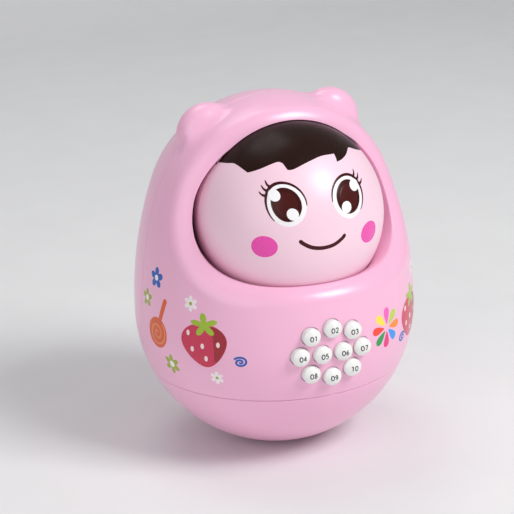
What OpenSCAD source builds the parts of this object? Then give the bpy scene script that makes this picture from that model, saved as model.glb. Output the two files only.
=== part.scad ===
// Nodding tumbler toy: an egg on a weighted round bowl, with a ball head that
// nods and sways in a hooded opening and ten push buttons on the belly.
// Millimetres. +Z is up, the face looks along -Y, and the origin is the centre
// of the small flat foot under the bowl.

/* [Egg body] */
// Diameter of the round lower half
egg_d = 125; // [118:0.5:140]
// How much narrower the crown's ball is than the lower half
crown_taper = 14; // [12:0.5:23]
// Height from the foot to the crown
egg_h = 157.5; // [150:0.5:175]
// How deep the flat foot cuts into the lower half's ball
foot_cut = 1.1; // [0.5:0.1:2.5]
// Height of the seam between the bowl and the shells
seam_z = 37; // [34:0.5:42]
// Wall of the shells and the bowl
wall = 2.4; // [1.8:0.1:3]
// Height of the bowl's locating rim above the seam
rim_h = 3; // [2:0.5:4]
// Thickness of the bowl's locating rim
rim_t = 1.8; // [1.2:0.1:2.4]
// Gap at glued and seated joints
seat_gap = 0.15; // [0.1:0.05:0.3]

/* [Ears] */
// Diameter of an ear
ear_d = 27.8; // [24:0.2:32]
// Thickness of an ear
ear_t = 14; // [10:0.5:18]
// Angle of each ear from the top of the crown
ear_turn = 35.2; // [31:0.1:39]
// How deep an ear's centre lies inside the crown's ball
ear_sink = 6.1; // [4:0.1:8]

/* [Head] */
// Diameter of the ball head
head_d = 80; // [76:0.5:82]
// Wall of the ball head
head_wall = 2; // [1.5:0.1:2.5]
// Distance of the head's centre in front of the egg's axis
head_forward = 19; // [17:0.5:21]
// Distance of the head's top below the crown
head_down = 9.5; // [8:0.5:14]
// Gap round the pivot arm in the head's rear hole
arm_gap = 1.5; // [1:0.1:2]
// How much smaller than the head the scoop that cuts the face opening is, on the radius
scoop_less = 2.5; // [1:0.5:5]
// Distance of the scoop's axis in front of the head
scoop_forward = 3; // [1:0.5:5]
// Height of the scoop's axis above the head's centre, as a share of the head's radius
scoop_lift = 0.425; // [0.36:0.005:0.5]

/* [Buttons] */
// Diameter of a button's cap
cap_d = 7.8; // [7:0.1:8]
// Height of a cap above the shell
cap_rise = 3.8; // [2.5:0.1:5]
// Radius of a cap's dome
dome_r = 4.8; // [4.2:0.1:7]
// Distance between neighbouring buttons in a row
button_pitch = 9.4; // [9.3:0.1:10.5]
// Distance between the rows
row_rise = 8.5; // [8.5:0.1:10]
// How far the middle buttons of the outer rows bow outwards
row_bow = 2.4; // [0:0.1:3]
// Height of the middle row above the seam
buttons_up = 21.5; // [20:0.5:26]
// Travel of a button
button_travel = 1; // [0.5:0.1:1.5]
// Diameter of the flange that keeps a button in
flange_d = 9; // [8.7:0.1:9.2]
// Thickness of that flange
flange_t = 1.2; // [0.8:0.1:1.6]
// Diameter of a button's stem
stem_d = 3.2; // [2.6:0.1:3.6]
// Gap round a button in its hole
button_gap = 0.25; // [0.2:0.05:0.3]

/* [Boards] */
// Thickness of the circuit boards
board_t = 1.6; // [1:0.2:2]
// Width of the button board
button_board_w = 46; // [45:1:48]
// Height of the button board
button_board_h = 36; // [34:1:38]
// Side of a key switch
key_w = 6; // [5:0.5:6.5]
// Height of a key switch
key_h = 3.8; // [3.2:0.1:5]
// Length of the main board
main_board_l = 60; // [54:1:64]
// Width of the main board
main_board_w = 44; // [38:1:46]
// Height of the main board above the counterweight
main_board_up = 5; // [4:0.5:7]

/* [Counterweight] */
// Diameter of the counterweight
weight_d = 54; // [48:1:58]
// Height of the bowl's floor
floor_z = 3.5; // [3:0.1:5]
// Height of the counterweight
weight_h = 13.5; // [10:0.5:16]
// Diameter of the posts through the counterweight
post_d = 7; // [6:0.2:8]
// Distance of those posts from the axis
post_ring_r = 18; // [15:0.5:20]

/* [Pivot] */
// Diameter of the nod pin
nod_pin_d = 4; // [3:0.2:5]
// Diameter of the sway pins
sway_pin_d = 3; // [2.4:0.1:3.6]
// Running clearance of the pins, on the radius
run_gap = 0.05; // [0.02:0.01:0.1]
// Gap at the faces of the gimbal block
block_gap = 0.4; // [0.3:0.05:0.6]
// Width of the gimbal block
block_w = 14; // [12:0.5:16]
// Height of the gimbal block
block_h = 10; // [9:0.5:11]
// Side of the pivot arm's beam
arm_w = 12; // [10:0.5:13]
// Thickness of the arm's prongs
prong_t = 4; // [3:0.5:5]
// Thickness of the arm's plate
arm_plate_t = 3; // [2:0.5:4]
// Largest swing of the head, in degrees
swing = 12; // [6:1:14]

/* [Pendulum] */
// Diameter of the pendulum rod
rod_d = 4; // [3:0.2:5]
// Gap between the head and the pendulum weight below it
bob_gap = 4; // [3:0.5:6]
// Diameter of the pendulum weight
bob_d = 18; // [14:0.5:20]
// Height of the pendulum weight
bob_h = 16; // [12:0.5:18]
// Distance of the weight behind the rod, which balances the face
bob_back = 4.4; // [2:0.1:5]

/* [Battery and loudspeaker] */
// Diameter of a cell
cell_d = 10.5; // [10:0.1:11]
// Length of a cell
cell_l = 44.5; // [43:0.5:46]
// Wall of the battery case
case_wall = 1.5; // [1.2:0.1:2]
// Diameter of the loudspeaker
speaker_d = 28; // [26:0.5:29]
// Depth of the loudspeaker
speaker_depth = 10; // [9:0.5:12]

/* [Power switch] */
// Angle of the power switch round from the rear
switch_turn = 46; // [44:1:52]
// Height of the power switch above the seam
switch_up = 33; // [30:0.5:38]
// Travel of the power switch
switch_travel = 4; // [3:0.5:5]

/* [Screws] */
// Diameter of the screws
screw_d = 2.6; // [2.2:0.1:3]
// Diameter of the screw heads
screw_head_d = 5.2; // [4.6:0.2:5.6]
// Height of the screw heads
screw_head_h = 2; // [1.4:0.1:2.4]
// Clearance round screws and posts, on the radius
screw_gap = 0.3; // [0.2:0.05:0.4]
// Wall round a screw hole
boss_wall = 1.5; // [1.2:0.1:2]

/* [Hidden] */
$fn = 128;
function button_name(i) = str("button_", i < 9 ? "0" : "", i + 1);

pink = [0.96, 0.72, 0.80];
skin = [0.97, 0.80, 0.82];
white = [0.94, 0.94, 0.92];
steel = [0.70, 0.71, 0.73];
iron = [0.30, 0.30, 0.31];
board_green = [0.12, 0.42, 0.24];
black = [0.12, 0.12, 0.13];
grey = [0.55, 0.56, 0.58];
copper = [0.80, 0.60, 0.30];

big = 2 * egg_h;
slit = 0.01;

// The egg: a ball below, a ball above, and one arc between that meets both smoothly
bowl_r = egg_d / 2;
crown_r = bowl_r - crown_taper / 2;
bowl_z = bowl_r - foot_cut;
crown_z = egg_h - crown_r;
side_rise = crown_z - bowl_z;
side_r = (pow(bowl_r, 2) - pow(crown_r, 2) + pow(side_rise, 2)) / (2 * (bowl_r - crown_r));
join_a = asin(side_rise / (side_r - crown_r));
micron = 0.001;

// Height where the side meets the crown, to the nearest micron so that both end on one line
function join_z(inset) = bowl_z + round((side_r - inset) * sin(join_a) / micron) * micron;

// Radius of the egg at height z, with its skin moved inwards by inset
function egg_r(z, inset) =
    z < bowl_z ? sqrt(pow(bowl_r - inset, 2) - pow(z - bowl_z, 2))
    : z < join_z(inset) ? bowl_r - side_r + sqrt(pow(side_r - inset, 2) - pow(z - bowl_z, 2))
    : sqrt(pow(crown_r - inset, 2) - pow(z - crown_z, 2));

// Distance from the plane y = 0 to the inner wall, at x and z
function wall_y(x, z) = sqrt(pow(egg_r(z, wall), 2) - x * x);

ear_x = (crown_r - ear_sink) * sin(ear_turn);
ear_z = crown_z + (crown_r - ear_sink) * cos(ear_turn);
head_r = head_d / 2;
head_y = -head_forward;
head_z = egg_h - head_down - head_r;
scoop_r = head_r - scoop_less;
rim_r = egg_r(seam_z, wall) - seat_gap;
rim_top = seam_z + rim_h;
rim_root = 6;
weight_top = floor_z + weight_h;
main_board_z = weight_top + main_board_up;

// Screws, bosses and their holes
pilot_r = screw_d / 2;
boss_r = pilot_r + boss_wall;
shank_hole_r = pilot_r + screw_gap;
head_hole_r = screw_head_d / 2 + screw_gap;
short_grip = 4;

// Shell screws: a pair above the seam and a pair level with the head's lower half
shell_boss_r = head_hole_r + boss_wall;
shell_boss_sink = 0.6;
shell_seat_y = 6;
shell_grip = 9;
boss_clear = 4;
upper_screw_up = 12;
shell_screw_z = [rim_top + shell_boss_r + boss_clear, head_z - head_r + upper_screw_up];
function shell_screw_x(z) = egg_r(z, wall) - shell_boss_r + shell_boss_sink;
shell_screw_spots = [for (z = shell_screw_z, s = [-1, 1]) [s * shell_screw_x(z), z]];

// Buttons, their pad, and the board behind them
buttons_z = seam_z + buttons_up;
button_spots = concat(
    [for (i = [-1:1]) [i * button_pitch, buttons_z + row_rise + row_bow * (1 - abs(i))]],
    [for (i = [-1.5:1:1.5]) [i * button_pitch, buttons_z]],
    [for (i = [-1:1]) [i * button_pitch, buttons_z - row_rise - row_bow * (1 - abs(i))]]);
hole_r = cap_d / 2 + button_gap;
pad_edge = 2.3;
pad_r = 1.5 * button_pitch + hole_r + pad_edge;
pad_skin = 0.6;
pad_y = -(min(wall_y(0, buttons_z - pad_r), wall_y(pad_r, buttons_z)) - pad_skin);
key_room = 0.4;
key_sink = 0.8;
key_front_y = pad_y + flange_t + button_travel + key_room;
button_board_y = key_front_y + key_h;
board_hole_in = 3;
button_board_spots = [for (sx = [-1, 1], sz = [-1, 1])
    [sx * (button_board_w / 2 - board_hole_in), buttons_z + sz * (button_board_h / 2 - board_hole_in)]];

// Main board on its posts in the bowl
main_board_spots = [for (sx = [-1, 1], sy = [-1, 1])
    [sx * (main_board_l / 2 - board_hole_in), sy * (main_board_w / 2 - board_hole_in)]];
post_spots = [for (a = [90, 210, 330]) [post_ring_r * cos(a), post_ring_r * sin(a)]];

// Pivot: prongs, gimbal block and hanger, all measured from the head's centre
lug_t = 4;
hanger_w = 8;
window_y = block_w / 2 + block_gap;
window_z = norm([block_w, block_h]) / 2 + block_gap;
hanger_y = window_y + lug_t;
hanger_z = window_z + lug_t;
prong_x = max(block_w / 2 + block_gap,
    hanger_w / 2 * cos(swing) + hanger_z * sin(swing) + block_gap);
prong_out = prong_x + prong_t;
prong_tip = arm_w / 2;
crotch_y = hanger_y * cos(swing) + hanger_z * sin(swing) + 3 * block_gap;
crotch_t = 5;
hanger_boss_h = 14;
hanger_plate_t = 3;
hanger_plate_z = head_r - head_wall - hanger_boss_h - hanger_plate_t;
hanger_plate_w = 30;
hanger_plate_d = 16;
plate_edge = 0.7;
hanger_screw_x = hanger_plate_w / 2 - boss_r - plate_edge;
hanger_screw_y = hanger_plate_d / 2;
arm_hole_r = norm([arm_w, arm_w]) / 2 + head_r * sin(swing) * sqrt(2) + arm_gap;
head_boss_in = 3;
head_screw_a = 27;
head_screw_r = head_r - head_wall - shell_boss_r - head_boss_in;
head_screw_spots = [for (s = [-1, 1]) head_screw_r * [s * cos(head_screw_a), sin(head_screw_a)]];
head_seat_y = 5;
rod_gap = 1;
rod_hole_r = rod_d / 2 + rod_gap;
clip_t = 0.8;
clip_rim = 2;
clip_r = nod_pin_d / 2 + clip_rim;
pin_end = 1;
pin_web = 1;
sway_pin_in = nod_pin_d / 2 + pin_web;
bob_low = head_r + bob_gap + bob_h;
nut_h = 3;

// Battery case and door
cells = 2;
cell_gap = 0.5;
contact_room = 2;
door_gap = 0.25;
screw_ledge = 7;
screw_edge = 1.2;
case_l = cell_l + 2 * contact_room + 2 * case_wall;
case_h = cells * cell_d + (cells + 1) * cell_gap + 2 * case_wall;
case_depth = cell_d + cell_gap + case_wall;
case_ear = 2 * boss_r;
case_flange_t = 2;
pad_low_z = rim_top + screw_gap;
case_z = pad_low_z + screw_ledge;
case_top_z = case_z + case_h;
door_edge = 1.5;
door_x = cell_l / 2 + contact_room + case_wall;
door_z = [pad_low_z + door_edge / 2, case_top_z];
case_pad_x = case_l / 2 + case_ear + pad_skin;
case_pad_top = case_top_z + door_edge;
case_y = wall_y(case_pad_x, pad_low_z) - pad_skin;
cell_y = case_y - cell_d / 2;
cell_zs = [for (i = [0:cells - 1]) case_z + case_wall + cell_gap + cell_d / 2 + i * (cell_d + cell_gap)];
case_screw_x = case_l / 2 + case_ear / 2;
case_mid_z = (case_z + case_top_z) / 2;
door_screw_z = door_z[0] + door_gap + head_hole_r + screw_edge;
door_screw_y = egg_r(door_screw_z, wall) + wall / 2;

// Loudspeaker above the battery case
speaker_r = speaker_d / 2;
speaker_flange_t = 1.2;
speaker_lip = 2.5;
speaker_z = case_pad_top + screw_gap + speaker_r;
speaker_y = min(wall_y(speaker_r, speaker_z - speaker_r),
    wall_y(speaker_r, speaker_z + speaker_r)) - pad_skin;
magnet_r = 8.5;
magnet_h = 4;
basket_t = 1;
cone_gap = 0.4;
cone_t = 0.6;
cone_low = 3.3;
cone_cap_r = 4.2;
clamp_lap = 1;
basket_depth = speaker_depth - magnet_h;
clamp_x = speaker_r + boss_r + seat_gap;
grille_hole_d = 2.2;
grille_pitch = 3.6;
grille_rings = 2;

// Pivot arm's plate on the rear shell, raised to stand clear of the loudspeaker
arm_plate_w = 31;
arm_plate_h = 22;
arm_plate_up = 5;
arm_plate_z = head_z + arm_plate_up;
arm_boss_x = arm_plate_w / 2 - boss_r - plate_edge;
arm_boss_z = arm_plate_h / 2 - boss_r - plate_edge;
arm_seat_y = min(wall_y(arm_plate_w / 2, arm_plate_z + arm_plate_h / 2) - short_grip,
    wall_y(arm_plate_w / 2, arm_plate_z - arm_plate_h / 2) - short_grip,
    speaker_y - speaker_depth - screw_gap);
arm_boss_spots = [for (sx = [-1, 1], sz = [-1, 1]) [sx * arm_boss_x, arm_plate_z + sz * arm_boss_z]];

// Power switch, in a frame turned round from the rear
switch_z = seam_z + switch_up;
switch_l = 14;
switch_w = 10;
switch_t = 5;
switch_ear = 2 * boss_r;
switch_ear_t = 1.5;
switch_half = switch_l / 2 + switch_ear;
switch_y = min(wall_y(switch_w / 2, switch_z + switch_half),
    wall_y(switch_w / 2, switch_z - switch_half)) - pad_skin;
knob_w = 3.5;
knob_l = 4;
knob_rise = 1.2;
knob_foot = 2.4;
knob_gap = 0.3;
slot_half = (knob_l + switch_travel) / 2 + knob_gap;

// Turns a shape so that its +Z looks out of the face side
module to_front() {
    rotate([90, 0, 0]) children();
}

// Turns a shape so that its +Z looks out of the rear
module to_rear() {
    rotate([-90, 0, 0]) children();
}

// Half of the egg's section, from the foot to the crown, with the skin moved inwards
module egg_section(inset) {
    intersection() {
        translate([0, bowl_z]) circle(bowl_r - inset);
        square([egg_d, bowl_z]);
    }
    intersection() {
        translate([bowl_r - side_r, bowl_z]) circle(side_r - inset, $fn = 4 * $fn);
        translate([0, bowl_z]) square([egg_d, join_z(inset) - bowl_z]);
    }
    intersection() {
        translate([0, crown_z]) circle(crown_r - inset);
        translate([0, join_z(inset)]) square([egg_d, egg_h]);
    }
}

// The solid egg
module egg(inset) {
    rotate_extrude() egg_section(inset);
}

// Both ears: flat discs with a full round rim
module ears(inset) {
    rim = ear_t / 2;
    middle = ear_d / 2 - rim;
    for (s = [-1, 1])
        translate([s * ear_x, 0, ear_z]) to_front() rotate_extrude() {
            translate([0, inset - rim]) square([middle, 2 * (rim - inset)]);
            intersection() {
                translate([middle, 0]) circle(rim - inset);
                translate([middle, -ear_t]) square([ear_t, 2 * ear_t]);
            }
        }
}

// A box that keeps what lies above the seam, on the front (-1) or the rear (1)
module above_seam(side) {
    translate([-big / 2, side < 0 ? -big : 0, seam_z]) cube([big, big, big]);
}

// The skin of one half of the hood, with its half ears
module hood_skin(side) {
    difference() {
        intersection() {
            union() {
                egg(0);
                ears(0);
            }
            above_seam(side);
        }
        egg(wall);
        ears(wall);
    }
}

// What stands inside the hood is cut off within the skin and above the bowl's rim
module within_hood() {
    difference() {
        intersection() {
            children();
            egg(wall / 2);
        }
        translate([0, 0, seam_z - slit]) cylinder(r = rim_r + seat_gap, h = rim_h + seat_gap + slit);
    }
}

// The scoop that cuts the face opening: upright above its axis, round below it
module scoop() {
    axis_y = head_y - head_r - scoop_forward;
    axis_z = head_z + scoop_lift * head_r;
    translate([-egg_d, 0, 0]) rotate([90, 0, 90]) linear_extrude(2 * egg_d) {
        intersection() {
            translate([axis_y, axis_z]) circle(scoop_r);
            translate([axis_y, axis_z - scoop_r]) square([scoop_r, scoop_r]);
        }
        translate([axis_y - egg_d, axis_z - scoop_r]) square([egg_d, scoop_r]);
        translate([axis_y - egg_d, axis_z]) square([egg_d + scoop_r, egg_h]);
    }
}

// A screw that points down, its head standing on z = 0
module screw(l, d = screw_d, head_d = screw_head_d, head_h = screw_head_h) {
    cylinder(d = head_d, h = head_h);
    translate([0, 0, -l]) cylinder(d = d, h = l);
}

module base_bowl() {
    color(pink) difference() {
        union() {
            difference() {
                intersection() {
                    egg(0);
                    cylinder(r = egg_d, h = seam_z);
                }
                intersection() {
                    egg(wall);
                    translate([0, 0, floor_z]) cylinder(r = egg_d, h = egg_h);
                }
            }
            difference() {
                intersection() {
                    translate([0, 0, seam_z - rim_root]) cylinder(r = rim_r, h = rim_root + rim_h);
                    union() {
                        egg(wall / 2);
                        translate([0, 0, seam_z]) cylinder(r = rim_r, h = rim_h);
                    }
                }
                cylinder(r = rim_r - rim_t, h = egg_h);
            }
            for (p = post_spots)
                translate([p[0], p[1], floor_z - slit]) cylinder(d = post_d, h = weight_h - seat_gap);
            intersection() {
                for (p = main_board_spots)
                    translate([p[0], p[1], floor_z]) cylinder(r = boss_r, h = main_board_z - floor_z);
                egg(wall / 2);
            }
        }
        for (p = post_spots)
            translate([p[0], p[1], weight_top - shell_grip]) cylinder(r = pilot_r, h = shell_grip);
        for (p = main_board_spots)
            translate([p[0], p[1], main_board_z - shell_grip]) cylinder(r = pilot_r, h = 2 * shell_grip);
    }
}

module counterweight() {
    color(iron) difference() {
        rotate_extrude() intersection() {
            translate([0, bowl_z]) circle(bowl_r - wall - 2 * seat_gap);
            translate([0, floor_z]) square([weight_d / 2, weight_h]);
        }
        for (p = post_spots)
            translate([p[0], p[1], 0]) cylinder(r = post_d / 2 + screw_gap, h = egg_h);
    }
}

module counterweight_screws() {
    color(steel) for (p = post_spots)
        translate([p[0], p[1], weight_top]) screw(shell_grip, head_d = post_d + 2 * boss_wall);
}

module front_shell() {
    color(pink) difference() {
        union() {
            hood_skin(-1);
            within_hood() {
                translate([0, pad_y, buttons_z]) to_front() cylinder(r = pad_r, h = egg_d);
                for (p = button_board_spots)
                    translate([p[0], button_board_y, p[1]]) to_front() cylinder(r = boss_r, h = egg_d);
                for (p = shell_screw_spots)
                    translate([p[0], 0, p[1]]) to_front()
                        cylinder(r = shell_boss_r, h = shell_grip + boss_wall);
            }
        }
        scoop();
        for (p = button_spots)
            translate([p[0], 0, p[1]]) to_front() cylinder(r = hole_r, h = egg_d);
        for (p = button_board_spots)
            translate([p[0], button_board_y, p[1]]) to_front() cylinder(r = pilot_r, h = short_grip);
        for (p = shell_screw_spots)
            translate([p[0], 0, p[1]]) to_front() cylinder(r = pilot_r, h = shell_grip);
    }
}

module rear_shell() {
    color(pink) difference() {
        union() {
            hood_skin(1);
            within_hood() {
                for (p = shell_screw_spots)
                    translate([p[0], 0, p[1]]) to_rear() cylinder(r = shell_boss_r, h = egg_d);
                for (p = arm_boss_spots)
                    translate([p[0], arm_seat_y, p[1]]) to_rear() cylinder(r = boss_r, h = egg_d);
                translate([0, speaker_y, speaker_z]) to_rear() difference() {
                    cylinder(r = speaker_r, h = egg_d);
                    translate([0, 0, -slit]) cylinder(r = speaker_r - speaker_lip, h = egg_d);
                }
                for (s = [-1, 1])
                    translate([s * clamp_x, speaker_y - speaker_flange_t, speaker_z])
                        to_rear() cylinder(r = boss_r, h = egg_d);
                translate([-case_pad_x, case_y, pad_low_z])
                    cube([2 * case_pad_x, egg_d, case_pad_top - pad_low_z]);
                rotate([0, 0, -switch_turn]) translate([-switch_w / 2, switch_y, switch_z - switch_half])
                    cube([switch_w, egg_d, 2 * switch_half]);
            }
        }
        for (p = shell_screw_spots) translate([p[0], 0, p[1]]) to_rear() {
            translate([0, 0, -slit]) cylinder(r = shank_hole_r, h = egg_d);
            translate([0, 0, shell_seat_y]) cylinder(r = head_hole_r, h = egg_d);
        }
        for (p = arm_boss_spots)
            translate([p[0], arm_seat_y - slit, p[1]]) to_rear() cylinder(r = pilot_r, h = short_grip);
        for (s = [-1, 1])
            translate([s * clamp_x, speaker_y - speaker_flange_t - slit, speaker_z])
                to_rear() cylinder(r = pilot_r, h = short_grip);
        grille_holes();
        door_cut(0, wall + seat_gap, wall);
        translate([-door_x + door_edge, 0, case_z + door_edge])
            cube([2 * (door_x - door_edge), egg_d, case_h - 2 * door_edge]);
        for (s = [-1, 1])
            translate([s * case_screw_x, case_y - slit, case_mid_z]) to_rear()
                cylinder(r = pilot_r, h = short_grip);
        translate([0, case_y, door_screw_z]) to_rear() cylinder(r = pilot_r, h = egg_d);
        rotate([0, 0, -switch_turn]) translate([0, 0, switch_z]) {
            translate([-knob_w / 2 - knob_gap, 0, -slot_half])
                cube([knob_w + 2 * knob_gap, egg_d, 2 * slot_half]);
            for (s = [-1, 1])
                translate([0, switch_y - slit, s * (switch_l / 2 + switch_ear / 2)])
                    to_rear() cylinder(r = pilot_r, h = wall);
        }
    }
}

// Rings of small round holes in front of the loudspeaker
module grille_holes() {
    translate([0, speaker_y, speaker_z]) to_rear() {
        cylinder(d = grille_hole_d, h = egg_d);
        for (ring = [1:grille_rings], i = [0:6 * ring - 1])
            rotate([0, 0, 60 * i / ring]) translate([ring * grille_pitch, 0, 0])
                cylinder(d = grille_hole_d, h = egg_d);
    }
}

// The curved block of skin that the battery door fills
module door_cut(gap, t, proud) {
    intersection() {
        difference() {
            egg(-proud);
            egg(t);
        }
        translate([gap - door_x, 0, door_z[0] + gap])
            cube([2 * (door_x - gap), egg_d, door_z[1] - door_z[0] - 2 * gap]);
    }
}

module shell_screws() {
    color(steel) for (p = shell_screw_spots)
        translate([p[0], shell_seat_y, p[1]]) to_rear() screw(shell_seat_y + shell_grip);
}

module pivot_arm() {
    color(grey) difference() {
        translate([0, head_y, head_z]) {
            for (s = [-1, 1])
                translate([s * (prong_x + prong_t / 2) - prong_t / 2, 0, 0]) {
                    translate([0, 0, -arm_w / 2]) cube([prong_t, crotch_y + crotch_t, arm_w]);
                    rotate([0, 90, 0]) cylinder(r = prong_tip, h = prong_t);
                }
            translate([-prong_out, crotch_y, -arm_w / 2]) cube([2 * prong_out, crotch_t, arm_w]);
            translate([-arm_w / 2, crotch_y, -arm_w / 2])
                cube([arm_w, arm_seat_y - arm_plate_t - head_y - crotch_y + slit, arm_w]);
            translate([-arm_plate_w / 2, arm_seat_y - arm_plate_t - head_y, arm_plate_up - arm_plate_h / 2])
                cube([arm_plate_w, arm_plate_t, arm_plate_h]);
        }
        translate([-prong_out - slit, head_y, head_z]) rotate([0, 90, 0])
            cylinder(r = nod_pin_d / 2 + run_gap, h = 2 * prong_out + 2 * slit);
        for (p = arm_boss_spots)
            translate([p[0], 0, p[1]]) to_rear() cylinder(r = shank_hole_r, h = egg_d);
    }
}

module arm_screws() {
    color(steel) for (p = arm_boss_spots)
        translate([p[0], arm_seat_y - arm_plate_t, p[1]]) to_front()
            screw(arm_plate_t + short_grip - 2 * slit);
}

module nod_pin() {
    half = prong_out + clip_t + seat_gap + pin_end;
    color(steel) translate([-half, head_y, head_z]) rotate([0, 90, 0]) cylinder(d = nod_pin_d, h = 2 * half);
}

module pin_clips() {
    color(black) for (s = [-1, 1])
        translate([s * (prong_out + seat_gap + clip_t / 2) - clip_t / 2, head_y, head_z]) rotate([0, 90, 0])
            difference() {
                cylinder(r = clip_r, h = clip_t);
                translate([0, 0, -slit]) cylinder(d = nod_pin_d, h = clip_t + 2 * slit);
            }
}

module gimbal_block() {
    color(white) translate([0, head_y, head_z]) difference() {
        translate([-block_w / 2, -block_w / 2, -block_h / 2]) cube([block_w, block_w, block_h]);
        translate([-block_w, 0, 0]) rotate([0, 90, 0]) cylinder(r = nod_pin_d / 2 + run_gap, h = 2 * block_w);
        for (s = [0, 180])
            rotate([0, 0, s]) translate([0, -sway_pin_in, 0]) to_front()
                cylinder(d = sway_pin_d, h = block_w);
    }
}

module sway_pins() {
    color(steel) translate([0, head_y, head_z]) for (s = [0, 180])
        rotate([0, 0, s]) translate([0, -sway_pin_in, 0]) to_front()
            cylinder(d = sway_pin_d, h = hanger_y - sway_pin_in + seat_gap);
}

// Half of the ball head, front (-1) or rear (1), with columns for the joining screws
module half_ball(side) {
    keep_y = side < 0 ? -big : 0;
    difference() {
        intersection() {
            sphere(r = head_r);
            translate([-big / 2, keep_y, -big / 2]) cube([big, big, big]);
        }
        sphere(r = head_r - head_wall);
    }
    intersection() {
        for (p = head_screw_spots) translate([p[0], 0, p[1]]) rotate([side < 0 ? 90 : -90, 0, 0])
            cylinder(r = shell_boss_r, h = head_r);
        sphere(r = head_r - head_wall / 2);
    }
}

module face_shell() {
    color(skin) translate([0, head_y, head_z]) difference() {
        half_ball(-1);
        for (p = head_screw_spots)
            translate([p[0], 0, p[1]]) to_front() cylinder(r = pilot_r, h = shell_grip);
        translate([0, 0, -head_d]) cylinder(r = rod_hole_r, h = head_d);
    }
}

module head_rear() {
    color(skin) translate([0, head_y, head_z]) difference() {
        union() {
            half_ball(1);
            intersection() {
                for (s = [-1, 1])
                    translate([s * hanger_screw_x, hanger_screw_y, hanger_plate_z + hanger_plate_t])
                        cylinder(r = boss_r, h = head_r);
                sphere(r = head_r - head_wall / 2);
            }
        }
        for (p = head_screw_spots) translate([p[0], 0, p[1]]) to_rear() {
            translate([0, 0, -slit]) cylinder(r = shank_hole_r, h = head_d);
            translate([0, 0, head_seat_y]) cylinder(r = head_hole_r, h = head_d);
        }
        for (s = [-1, 1])
            translate([s * hanger_screw_x, hanger_screw_y, hanger_plate_z])
                cylinder(r = pilot_r, h = shell_grip);
        to_rear() cylinder(r = arm_hole_r, h = head_d);
        translate([0, 0, -head_d]) cylinder(r = rod_hole_r, h = head_d);
    }
}

module head_screws() {
    color(steel) translate([0, head_y, head_z]) for (p = head_screw_spots)
        translate([p[0], head_seat_y, p[1]]) to_rear() screw(head_seat_y + shell_grip);
}

module head_hanger() {
    color(grey) translate([0, head_y, head_z]) difference() {
        union() {
            difference() {
                translate([-hanger_w / 2, -hanger_y, -hanger_z]) cube([hanger_w, 2 * hanger_y, 2 * hanger_z]);
                translate([-hanger_w, -window_y, -window_z]) cube([2 * hanger_w, 2 * window_y, 2 * window_z]);
            }
            translate([-hanger_w / 2, -hanger_w / 2, hanger_z - slit])
                cube([hanger_w, hanger_w, hanger_plate_z - hanger_z + 2 * slit]);
            translate([-hanger_plate_w / 2, -hanger_w / 2, hanger_plate_z])
                cube([hanger_plate_w, hanger_plate_d, hanger_plate_t]);
        }
        translate([0, hanger_y + slit, 0]) to_front()
            cylinder(r = sway_pin_d / 2 + run_gap, h = 2 * hanger_y + 2 * slit);
        translate([0, 0, -hanger_z - slit]) cylinder(d = rod_d, h = lug_t + 2 * slit);
        for (s = [-1, 1])
            translate([s * hanger_screw_x, hanger_screw_y, hanger_plate_z - slit])
                cylinder(r = shank_hole_r, h = hanger_plate_t + 2 * slit);
    }
}

module hanger_screws() {
    color(steel) translate([0, head_y, head_z]) for (s = [-1, 1])
        translate([s * hanger_screw_x, hanger_screw_y, hanger_plate_z]) rotate([180, 0, 0])
            screw(shell_grip);
}

module pendulum_rod() {
    color(steel) translate([0, head_y, head_z - bob_low - nut_h])
        cylinder(d = rod_d, h = bob_low + nut_h - window_z);
}

module pendulum_weight() {
    color(iron) translate([0, head_y, head_z - bob_low]) difference() {
        translate([0, bob_back, 0]) cylinder(d = bob_d, h = bob_h);
        translate([0, 0, -slit]) cylinder(d = rod_d, h = bob_h + 2 * slit);
    }
}

module pendulum_nut() {
    color(steel) translate([0, head_y, head_z - bob_low - nut_h]) difference() {
        cylinder(r = rod_d, h = nut_h, $fn = 6);
        translate([0, 0, -slit]) cylinder(d = rod_d, h = nut_h + 2 * slit);
    }
}

module button_board() {
    color(board_green) difference() {
        translate([-button_board_w / 2, button_board_y, buttons_z - button_board_h / 2])
            cube([button_board_w, board_t, button_board_h]);
        for (p = button_board_spots)
            translate([p[0], button_board_y - slit, p[1]]) to_rear()
                cylinder(r = shank_hole_r, h = 2 * board_t);
    }
}

module button_board_screws() {
    color(steel) for (p = button_board_spots)
        translate([p[0], button_board_y + board_t, p[1]]) to_rear() screw(board_t + short_grip - 2 * slit);
}

module key_switches() {
    color(black) for (p = button_spots) translate([p[0], key_front_y, p[1]]) to_rear() difference() {
        translate([-key_w / 2, -key_w / 2, 0]) cube([key_w, key_w, key_h]);
        translate([0, 0, -slit])
            cylinder(r = stem_d / 2 + button_gap, h = key_sink + button_travel + key_room);
    }
}

// A button: dome and cap outside, flange behind the pad, stem into its key switch
module button(i) {
    p = button_spots[i];
    skin_y = sqrt(pow(egg_r(p[1], 0), 2) - p[0] * p[0]);
    top = skin_y + cap_rise + pad_y;
    dome_h = dome_r - sqrt(pow(dome_r, 2) - pow(cap_d / 2, 2));
    stem_low = flange_t + button_travel + key_room + key_sink;
    color(white) translate([p[0], pad_y, p[1]]) to_front() rotate_extrude() {
        intersection() {
            translate([0, top - dome_r]) circle(dome_r);
            translate([0, top - dome_h]) square([cap_d / 2, dome_h]);
        }
        square([cap_d / 2, top - dome_h]);
        translate([0, -flange_t]) square([flange_d / 2, flange_t]);
        translate([0, -stem_low]) square([stem_d / 2, stem_low - flange_t]);
    }
}

module main_board() {
    color(board_green) difference() {
        translate([-main_board_l / 2, -main_board_w / 2, main_board_z])
            cube([main_board_l, main_board_w, board_t]);
        for (p = main_board_spots)
            translate([p[0], p[1], main_board_z - slit]) cylinder(r = shank_hole_r, h = 2 * board_t);
    }
}

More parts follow.
